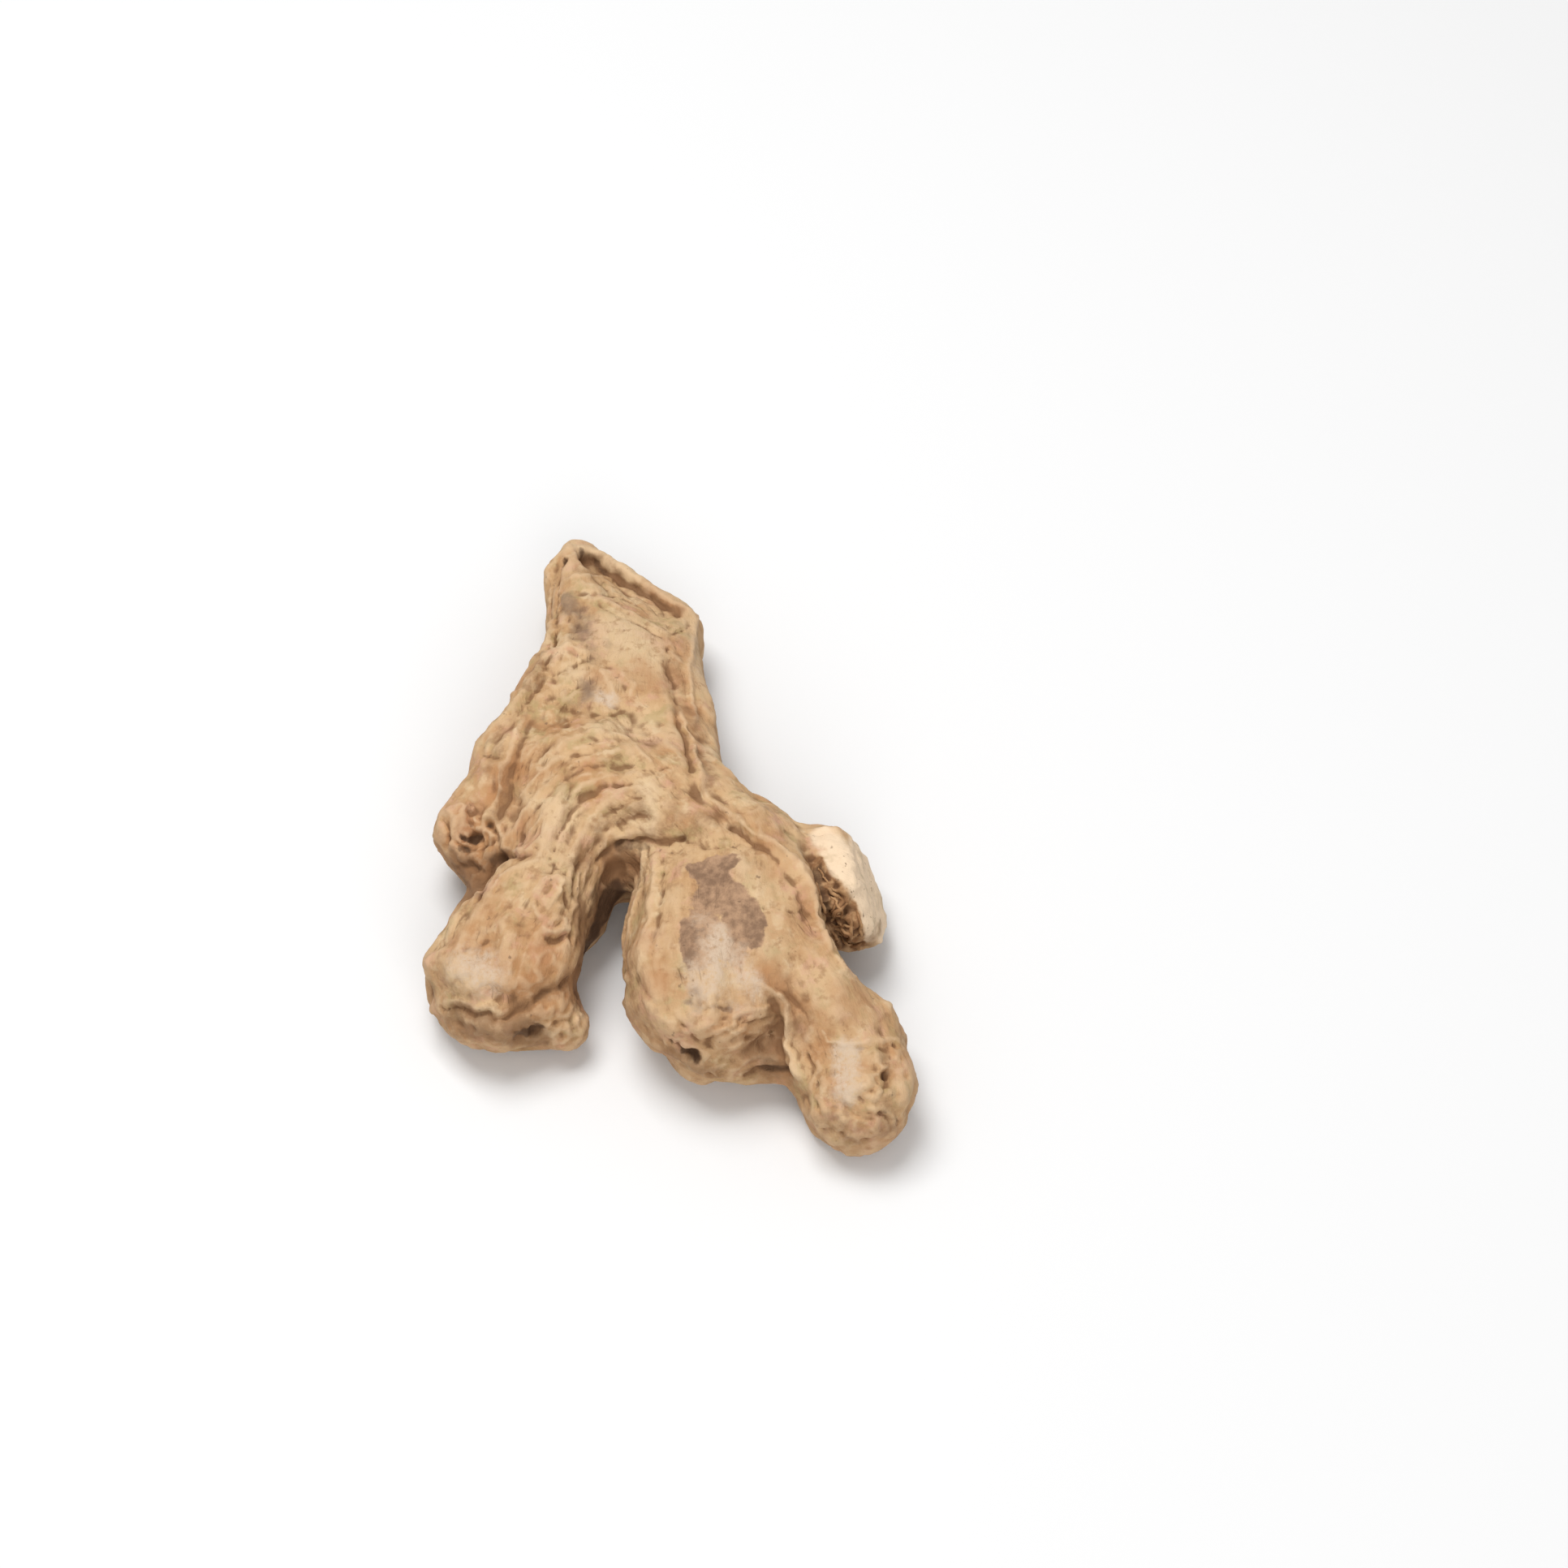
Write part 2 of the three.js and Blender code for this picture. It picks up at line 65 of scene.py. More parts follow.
CAMERA_BACK = np.array([0.0, -math.cos(CAMERA_ELEVATION), math.sin(CAMERA_ELEVATION)])
CAMERA_RIGHT = np.array([1.0, 0.0, 0.0])
CAMERA_UP = np.cross(CAMERA_BACK, CAMERA_RIGHT)
CAMERA_EYE = CAMERA_AIM + CAMERA_BACK * CAMERA_DISTANCE


def make_camera():
    data = bpy.data.cameras.new("camera")
    data.sensor_width = SENSOR
    data.lens = SENSOR / 2 * CAMERA_DISTANCE / VIEW_HALF_WIDTH
    camera = bpy.data.objects.new("camera", data)
    camera.location = CAMERA_EYE * MM
    camera.rotation_euler = (math.pi / 2 - CAMERA_ELEVATION, 0, 0)
    bpy.context.scene.collection.objects.link(camera)
    bpy.context.scene.camera = camera


def pixel_direction(u, v):
    """The direction from the eye through a pixel of the photograph."""
    middle = PHOTO_SIZE / 2
    across = (u - middle) / middle * VIEW_HALF_WIDTH / CAMERA_DISTANCE
    down = (v - middle) / middle * VIEW_HALF_WIDTH / CAMERA_DISTANCE
    return CAMERA_RIGHT * across - CAMERA_UP * down - CAMERA_BACK


# ---------------- noise
# The first seed of each kind of noise.
SEEDS = {"bend": 1, "ripple": 4, "pleats": 10, "pleat_places": 14, "ridges": 17, "cracks": 20,
         "crack_places": 24, "ridge_places": 27, "lumps": 30, "edges": 40, "crumbs": 50, "crumples": 54,
         "ropes": 58}


class Noise:
    """Smooth gradient noise in three dimensions, from about -1 to 1."""

    TABLE = 256
    GAIN = 1.6  # brings the values to that range

    def __init__(self, seed):
        draw = np.random.default_rng(SEED * 1000 + seed)
        self.order = draw.permutation(self.TABLE)
        self.slopes = unit(draw.normal(size=(self.TABLE, 3)))

    def __call__(self, places):
        cell = np.floor(places).astype(int)
        part = places - cell
        ease = part * part * part * (part * (part * 6 - 15) + 10)
        total = np.zeros(len(places))
        for corner in np.ndindex(2, 2, 2):
            i, j, k = ((cell + corner) % self.TABLE).T
            column = self.order[(self.order[i] + j) % self.TABLE]
            slope = self.slopes[self.order[(column + k) % self.TABLE]]
            weight = np.prod(np.where(corner, ease, 1 - ease), axis=1)
            total += weight * dot(slope, part - corner)
        return total * self.GAIN


def noise(kind, index, places):
    return Noise(SEEDS[kind] + index)(places)


def unit(vectors):
    return vectors / np.linalg.norm(vectors, axis=1, keepdims=True)


def dot(a, b):
    return np.einsum("ij,ij->i", a, b)


def smoothstep(low, high, value):
    t = np.clip((value - low) / (high - low), 0, 1)
    return t * t * (3 - 2 * t)


# ---------------- mesh helpers
def node_mesh(name):
    """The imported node's points in millimetres and its triangles, with shared points merged."""
    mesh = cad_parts[name].data
    mesh.calc_loop_triangles()
    points = np.array([v.co[:] for v in mesh.vertices])
    triangles = np.array([t.vertices[:] for t in mesh.loop_triangles])
    unique, index = np.unique(np.round(points / MM, 4), axis=0, return_inverse=True)
    return unique, index.ravel()[triangles]


def edges_of(triangles):
    """The unique edges, and for each corner of each triangle the edge that starts there."""
    sides = np.concatenate([triangles[:, [0, 1]], triangles[:, [1, 2]], triangles[:, [2, 0]]])
    edges, which = np.unique(np.sort(sides, axis=1), axis=0, return_inverse=True)
    return edges, which.reshape(3, -1).T


def subdivide(points, triangles):
    """One round of Loop's subdivision of a closed triangle mesh."""
    edges, sides = edges_of(triangles)
    far = np.zeros((len(edges), 3))
    np.add.at(far, sides.ravel(), points[triangles[:, [2, 0, 1]]].reshape(-1, 3))
    middles = 0.375 * points[edges].sum(axis=1) + 0.125 * far
    degree = np.bincount(edges.ravel(), minlength=len(points))
    around = np.zeros_like(points)
    np.add.at(around, edges[:, 0], points[edges[:, 1]])
    np.add.at(around, edges[:, 1], points[edges[:, 0]])
    share = np.where(degree == 3, 3 / 16, 3 / (8 * degree))
    kept = points * (1 - degree * share)[:, None] + around * share[:, None]
    a, b, c = triangles.T
    ab, bc, ca = (sides + len(points)).T
    finer = np.concatenate([np.stack(corners, axis=1) for corners in
                            ((a, ab, ca), (ab, b, bc), (ca, bc, c), (ab, bc, ca))])
    return np.vstack([kept, middles]), finer


def normals_of(points, triangles):
    a, b, c = points[triangles].transpose(1, 0, 2)
    faces = np.cross(b - a, c - a)
    normals = np.zeros_like(points)
    for corner in range(3):
        np.add.at(normals, triangles[:, corner], faces)
    return unit(normals)


class Averager:
    """Averages values over each point's neighbours, as often as asked."""

    def __init__(self, triangles, count):
        edges, _ = edges_of(triangles)
        starts = np.concatenate([edges[:, 0], edges[:, 1]])
        ends = np.concatenate([edges[:, 1], edges[:, 0]])
        order = np.argsort(starts, kind="stable")
        self.ends = ends[order]
        self.firsts = np.searchsorted(starts[order], np.arange(count))
        self.degree = np.bincount(starts, minlength=count)

    def __call__(self, values, rounds):
        degree = self.degree if values.ndim == 1 else self.degree[:, None]
        for _ in range(rounds):
            values = 0.5 * values + 0.5 * np.add.reduceat(values[self.ends], self.firsts) / degree
        return values


# ---------------- branches
# The middle of each branch as its wrinkles run. The two right ones share the rhizome, and the wrinkles of
# the long finger come round the fork from the right shoulder.
TRUNK = [(-9.2, 46.7, 8.5), (-8.8, 40.7, 8.8), (-8.4, 32.7, 9.8), (-9.0, 21.7, 11.0), (-8.0, 12.7, 11.9),
         (-4.4, 3.7, 12.4), (2.6, -3.9, 12.6)]
BRANCHES = {
    "long_finger": [(6.0, -6.0, 12.2), (5.0, 0.4, 12.0), (2.0, 6.0, 12.0), (-2.4, 9.4, 12.3),
                    (-8.0, 9.4, 12.3), (-13.2, 5.6, 12.5), (-16.4, -1.0, 12.6), (-18.2, -8.6, 12.6),
                    (-20.0, -15.9, 11.8), (-23.4, -22.3, 10.4), (-25.2, -28.0, 9.0), (-25.8, -31.0, 8.4)],
    "blunt_end": TRUNK + [(7.0, -12.3, 12.6), (7.0, -22.3, 12.3), (6.6, -29.3, 11.0), (7.0, -34.5, 9.6)],
    "short_finger": TRUNK + [(10.4, -13.3, 12.8), (18.2, -26.5, 12.4), (23.4, -35.1, 11.0),
                             (27.0, -42.7, 8.6), (28.0, -46.9, 7.5)],
    "stub": [(10.8, -9.9, 12.0), (18.2, -12.0, 11.7), (23.4, -12.7, 11.4), (31.0, -13.7, 10.6)],
    "side_knob": [(-16.8, 8.1, 11.4), (-23.4, 3.7, 11.0), (-28.4, -0.4, 10.4), (-30.4, -2.8, 10.0)],
    "finger_bud": [(-20.8, -28.4, 8.4), (-18.4, -31.4, 7.0), (-15.4, -34.4, 5.4)],
}
BRANCH_RADII = {"long_finger": 9.5, "blunt_end": 12.0, "short_finger": 8.6, "stub": 7.0, "side_knob": 5.5,
                "finger_bud": 4.6}
BRANCH_GRIP = 14.0  # how sharply the skin of one branch gives way to that of the next
LEAST_SHARE = 0.03  # smaller shares count as none
AXIS_SPACING = 0.5
CURVE_STEPS = 24  # between two corners of a curve
NEAREST_CHUNK = 20000  # points handled at once, to spare memory


def smooth_line(corners, spacing):
    """Evenly spaced points on a Catmull-Rom curve through the corners."""
    corners = np.array(corners, dtype=float)
    padded = np.vstack([2 * corners[0] - corners[1], corners, 2 * corners[-1] - corners[-2]])
    pieces = []
    for p0, p1, p2, p3 in zip(padded, padded[1:], padded[2:], padded[3:]):
        t = np.linspace(0, 1, CURVE_STEPS, endpoint=False)[:, None]
        pieces.append(0.5 * (2 * p1 + (p2 - p0) * t + (2 * p0 - 5 * p1 + 4 * p2 - p3) * t ** 2
                             + (3 * p1 - p0 - 3 * p2 + p3) * t ** 3))
    dense = np.vstack(pieces + [corners[-1:]])
    along = np.concatenate([[0], np.cumsum(np.linalg.norm(np.diff(dense, axis=0), axis=1))])
    places = np.arange(0, along[-1], spacing)
    return np.stack([np.interp(places, along, dense[:, axis]) for axis in range(3)], axis=1)


def along_branch(points, corners):
    """For each point: distance along a branch, and offsets sideways and upwards from its middle."""
    line = smooth_line(corners, AXIS_SPACING)
    tangents = unit(np.gradient(line, axis=0))
    sides = unit(np.cross(tangents, (0, 0, 1)))
    ups = np.cross(sides, tangents)
    nearest = np.concatenate([
        np.argmin(((chunk[:, None] - line) ** 2).sum(axis=2), axis=1)
        for chunk in np.split(points, range(NEAREST_CHUNK, len(points), NEAREST_CHUNK))])
    beyond = dot(points - line[nearest], tangents[nearest])
    place = nearest + beyond / AXIS_SPACING
    inside = np.clip(place, 0, len(line) - 1)
    low = np.minimum(inside.astype(int), len(line) - 2)
    share = (inside - low)[:, None]
    middle = line[low] * (1 - share) + line[low + 1] * share
    side = sides[low] * (1 - share) + sides[low + 1] * share
    up = ups[low] * (1 - share) + ups[low + 1] * share
    offset = points - middle
    return np.stack([place * AXIS_SPACING, dot(offset, side), dot(offset, up)], axis=1)


def on_branches(points):
    """For each branch, each point's place along it and the share of its wrinkles that the point takes."""
    places = []
    away = []
    for name, corners in BRANCHES.items():
        place = along_branch(points, corners)
        length = len(smooth_line(corners, AXIS_SPACING)) * AXIS_SPACING
        beyond = np.maximum(0, place[:, 0] - length) + np.maximum(0, -place[:, 0])
        places.append(place)
        away.append(np.sqrt(place[:, 1] ** 2 + place[:, 2] ** 2 + beyond ** 2) / BRANCH_RADII[name])
    shares = np.exp(-BRANCH_GRIP * (np.array(away) - np.min(away, axis=0)))
    shares[shares < LEAST_SHARE] = 0
    return np.array(places), shares / shares.sum(axis=0)


# ---------------- what the photograph shows
def row(line):
    """A row's sizes, then the list of the pixels u,v that it runs through."""
    words = line.split()
    sizes = [float(word) for word in words if "," not in word]
    return [*sizes, [tuple(map(int, word.split(","))) for word in words if "," in word]]


def rows(table):
    return [row(line) for line in table.strip().splitlines()]


def named_rows(table):
    """A table's rows by the name that each one starts with. A line that starts with # is a heading."""
    lines = [line.split(maxsplit=1) for line in table.strip().splitlines()]
    return {name: row(rest) for name, rest in lines if name != "#"}


def headed_rows(table):
    """Lists of rows by the name over them. Such a line is the name, a colon and what it stands for."""
    found = {}
    for line in table.strip().splitlines():
        name, colon, _ = line.partition(":")
        if colon:
            own = found.setdefault(name, [])
        else:
            own.append(row(line))
    return found


# Raised folds and sunken creases: name, height, half width, pixels. A crease has a negative height.
FOLDS = named_rows("""
# the slanted mouth at the broken end
rim 0.75 0.8 676,722 680,704 690,688 706,678 728,680 748,691 772,706 800,724 826,741 848,757
rim_hollow -0.9 0.5 714,690 730,691 748,703 766,716
rim_crease -0.9 0.3 766,716 790,731 812,744 836,758
mouth_crease -0.6 0.24 734,706 752,718 776,734 800,746
mouth_band 0.45 0.45 704,712 722,709 742,713 756,722
mouth_step -0.45 0.3 714,732 738,730 760,734 776,742
face_crease -0.45 0.28 738,744 760,757 790,770 812,785
face_edge 0.4 0.36 746,741 770,752 800,768 822,781
corner_crease -0.6 0.3 826,784 838,776 850,772
strut 0.5 0.3 704,678 708,690 704,702
left_rim 0.35 0.45 680,722 680,748 679,770 675,800
left_rim_groove -0.65 0.4 687,716 686,746 684,776 679,800 669,822
# the shoulders
right_shoulder 0.75 0.4 836,872 842,896 852,918 858,940 866,960 873,984
right_shoulder_top 0.6 0.5 856,762 853,790 848,824 850,860 856,890
right_shoulder_foot -0.75 0.4 822,798 828,836 834,868 838,896 846,922 852,950
left_shoulder 0.7 0.45 662,826 640,858 618,888 600,908 588,932
left_shoulder_furrow -0.6 0.4 670,838 650,866 622,900 602,922
left_inner_ridge 0.6 0.4 642,890 632,916 621,944 618,972 604,1006
left_inner_furrow -0.5 0.36 652,892 642,918 631,948 628,980 614,1012
# arcs of skin round the fork
arc_one 0.55 0.42 800,968 770,974 745,990 722,1020 706,1052 700,1086
arc_one_groove -0.6 0.34 790,984 764,992 742,1012 726,1040 716,1078
arc_two 0.5 0.4 780,953 744,958 716,970 692,1000 672,1036 660,1064
arc_two_groove -0.5 0.32 770,963 740,970 714,988 692,1020 680,1056
arc_three 0.5 0.4 761,926 730,930 702,943 672,968 645,1000 628,1030
arc_three_groove -0.45 0.32 756,938 722,944 690,962 660,996 642,1026
arc_four 0.4 0.4 800,940 770,908 735,902 694,914 668,936
arc_inner 0.45 0.4 782,1002 762,1010 746,1032 736,1062 730,1096
crack_above_arcs -0.55 0.3 689,867 705,874 719,880 745,881 769,876
crack_left -0.45 0.3 694,914 716,906 736,910
crack_middle -0.4 0.3 752,943 778,946 803,951 822,944
ring_edge 0.6 0.36 788,972 802,984 809,1004 806,1024 796,1036
fork_crack -1 0.4 736,1061 752,1045 772,1037 800,1035 826,1037 842,1034
# the blunt end
outer_ridge 0.75 0.42 879,989 921,1019 955,1040 984,1064 1001,1094 1006,1128 1019,1162 1042,1198
outer_ridge_foot -0.55 0.38 900,1018 940,1046 966,1068 984,1100 990,1130
inner_edge 0.65 0.45 795,1043 791,1098 779,1140 772,1176 775,1210
inner_ridge 0.45 0.36 807,1052 806,1090 801,1130 790,1164 788,1196
inner_ridge_furrow -0.5 0.32 816,1056 815,1100 811,1140 802,1176
plate_edge 0.3 0.3 846,1148 842,1180 846,1210 856,1236
crack_outer -0.45 0.26 938,1119 956,1116 976,1124 997,1125
crack_top -0.35 0.26 842,1034 872,1046 910,1042 946,1048
end_wrinkle_one 0.45 0.4 944,1240 910,1250 876,1262 846,1272
end_wrinkle_two -0.45 0.34 950,1254 912,1264 880,1280 862,1290
end_wrinkle_three 0.4 0.36 956,1272 930,1278 902,1290 880,1304
lobe_crease_one -0.5 0.26 866,1246 886,1240 904,1246
lobe_crease_two -0.45 0.26 880,1262 892,1252 910,1256 924,1250
lobe_crease_three -0.45 0.26 836,1262 850,1272 856,1284
lobe_flake 0.5 0.3 884,1276 896,1266 906,1272
lobe_left_crease -0.5 0.28 782,1128 774,1134 770,1142
finger_top_crease -0.4 0.26 958,1220 974,1232 990,1250 994,1262
recess_groove -0.9 0.45 974,1322 956,1318 938,1318 922,1326
recess_ridge 0.55 0.36 966,1306 944,1302 924,1306 902,1318
# the short finger
fold_of_tip 0.95 0.42 938,1216 957,1224 967,1238 971,1266 972,1292 982,1322
fold_of_tip_foot -0.95 0.42 948,1236 957,1250 961,1274 962,1298 970,1322
tip_collar 0.45 0.36 1011,1270 1022,1283 1050,1285 1080,1283 1106,1281
tip_collar_crease -0.5 0.28 1060,1291 1084,1291 1106,1288
tip_net_one -0.4 0.26 1008,1326 1002,1352 1012,1378 1036,1396
tip_net_two -0.4 0.26 1062,1350 1070,1370 1092,1378 1108,1366
tip_net_four -0.45 0.26 1040,1362 1052,1374 1074,1380 1096,1378
tip_net_five 0.45 0.3 1044,1354 1060,1364 1078,1366
tip_wall_crease -0.4 0.26 996,1292 1002,1310 996,1334
tip_net_three -0.35 0.26 1000,1290 1012,1306 1018,1330
# the long finger
arc_crease_one -0.35 0.26 694,988 706,982 722,978 742,977
arc_crease_two -0.5 0.3 674,962 690,952 706,944 722,941
arc_crease_three -0.55 0.3 760,966 780,967 799,970
arc_crease_four -0.5 0.34 728,1013 746,1003 768,991
arc_hollow -0.6 0.6 744,1028 758,1014 778,1006 794,1009
shoulder_step -0.5 0.3 594,931 606,934 620,933
neck_crease -0.6 0.34 672,800 676,788 682,778 682,796
neck_ridge 0.5 0.36 645,842 661,819 677,803
neck_fold 0.45 0.4 684,804 702,797 718,806
neck_fold_shadow -0.5 0.34 690,812 708,820 727,811
plate_rim 0.4 0.34 739,828 762,828 782,844 776,858
plate_crease -0.45 0.28 742,850 752,868 778,881
arc_five 0.45 0.34 794,990 772,992 752,1002 732,1026 722,1060 718,1090
arc_six 0.4 0.32 764,972 738,978 712,998 692,1028 680,1062
arc_seven 0.4 0.32 742,950 712,958 684,986 660,1018 648,1040
arc_eight 0.4 0.32 756,915 722,918 696,930 664,954 640,986
finger_root_crease -0.5 0.3 658,1040 668,1052 682,1064 698,1078
finger_root_shade -0.55 0.5 708,1070 722,1054 736,1038
short_crease_one -0.45 0.28 697,929 714,931 733,929
body_crease_one -0.4 0.28 664,806 676,822 686,842
body_crease_two -0.4 0.28 690,842 700,850 712,846
body_crease_three -0.4 0.28 752,822 764,834 772,852
body_ridge_one 0.4 0.34 740,826 752,840 756,858
body_ridge_two 0.4 0.34 676,796 688,812 704,818
finger_crease -0.85 0.4 544,1242 570,1247 600,1250 613,1257 640,1246 670,1228 700,1206
finger_crease_lip 0.25 0.5 548,1232 580,1238 608,1244
finger_side_one 0.5 0.4 724,1050 712,1082 708,1112 712,1150
finger_side_two -0.6 0.36 716,1062 704,1092 701,1126 704,1160
under_knob -0.8 0.6 652,1052 628,1056 606,1070 596,1088 588,1106
under_knob_lip 0.6 0.45 652,1066 634,1070 616,1084 604,1104
knob_ring 0.6 0.4 560,1014 576,1006 598,1012 608,1030 598,1050 580,1056
scar_outline 0.32 0.36 664,1130 657,1108 664,1088 680,1079 697,1086 704,1106 704,1132 698,1150
scar_moat -0.28 0.3 670,1132 665,1108 672,1095 683,1088 694,1096 697,1116
scar_flap 0.4 0.36 668,1143 684,1147 700,1145
scar_flap_shadow -0.42 0.36 668,1154 684,1158 700,1154
bud_ring 0.5 0.34 672,1262 684,1252 702,1252 714,1264 714,1280 702,1290
bud_ring_groove -0.45 0.28 676,1269 686,1259 700,1259 708,1268 707,1279
bud_inner_ring 0.4 0.28 682,1274 690,1266 699,1268 701,1277 694,1284
knob_fold 0.7 0.4 608,1000 618,1022 624,1044 640,1050
knob_fold_shadow -0.8 0.4 604,1016 612,1032 618,1056
knob_brow 0.6 0.4 560,1018 572,1012 582,1020 596,1018 602,1008
knob_slit -0.7 0.3 578,1004 580,1016 584,1028
knob_step -0.6 0.3 562,1040 572,1046 590,1048 606,1042
knob_chin 0.6 0.32 564,1050 578,1056 594,1058 610,1050
knob_under -0.6 0.32 568,1062 580,1068 594,1072
knob_low_fold 0.55 0.32 566,1070 574,1078 580,1090
knob_side_crease -0.8 0.3 546,1008 552,1024 550,1042
knob_side_fold 0.65 0.32 556,1000 562,1014 558,1030
knob_cheek 0.5 0.32 600,1024 612,1034 620,1046
web_edge 0.6 0.34 742,1088 756,1092 772,1096 788,1100
white_patch_crack -0.4 0.26 552,1176 570,1169 586,1168 598,1158
# the root of the stub
stub_furrow -1.1 0.6 1002,1060 1010,1090 1018,1124 1034,1160
rind_lip 0.6 0.36 1008,1050 1012,1070 1028,1080 1040,1094 1054,1106 1060,1124
torn_rope_one 0.9 0.3 1030,1126 1038,1119 1048,1110
torn_rope_two 0.8 0.3 1046,1120 1047,1136 1046,1150
torn_rope_three 0.8 0.3 1028,1148 1030,1158 1033,1167
torn_rope_four 0.6 0.3 1016,1094 1018,1104 1020,1130 1020,1150
""")
# Pits: name, depth, half width, pixel. A pit of negative depth is a knot.
PITS = named_rows("""
knob_pit 1.5 0.8 588,1034
knob_pit_left 1 0.6 572,1033
knob_low_pit 0.9 0.7 618,1056
knob_edge_pit 0.6 0.5 644,1032
knob_small_pit 0.8 0.5 580,1004
knob_side_pit 0.7 0.6 606,1015
knob_outer_pit 0.7 0.5 552,1032
knob_under_pit 0.8 0.6 586,1064
knob_under_hole 0.8 0.6 576,1050
end_pit 1.8 1 853,1301
end_pit_left 1 0.7 838,1292
end_spot 0.5 0.5 826,1284
end_low_spot 0.7 0.6 873,1326
tip_pit 1.2 0.6 1090,1328
tip_pit_foot 0.8 0.5 1094,1338
tip_knot -0.7 0.5 1098,1348
tip_dimple 0.6 0.5 1076,1342
tip_low_pit 0.6 0.5 1086,1374
tip_small_pit 0.7 0.6 1086,1310
rim_pit 1.2 0.6 697,694
bud_pit 1 0.8 656,1270
bud_low_pit 0.7 0.7 638,1278
rubbed_mark 0.3 0.5 850,1235
torn_hole_one 1 0.5 1005,1066
torn_hole_two 1 0.55 1015,1113
torn_hole_three 1 0.5 1037,1108
torn_hole_four 1.2 0.55 1041,1123
torn_hole_five 1.2 0.6 1025,1131
torn_hole_six 0.9 0.5 1055,1128
torn_hole_seven 1.3 0.7 1024,1159
torn_hole_eight 1.6 1 1050,1163
torn_hole_nine 0.9 0.5 1036,1144
""")
# Rings left by old stems: name, height, half width, radius across and along the finger, centre pixel.
SCARS = named_rows("""
finger_scar 0.32 0.4 2.4 3.3 683,1112
""")

SHARP_PAINTS = ("rubbed", "torn", "rind", "dark")  # the edges of the others are soft
SHARP_EDGE = 0.35  # of the half width
SOFT_EDGE = 0.8
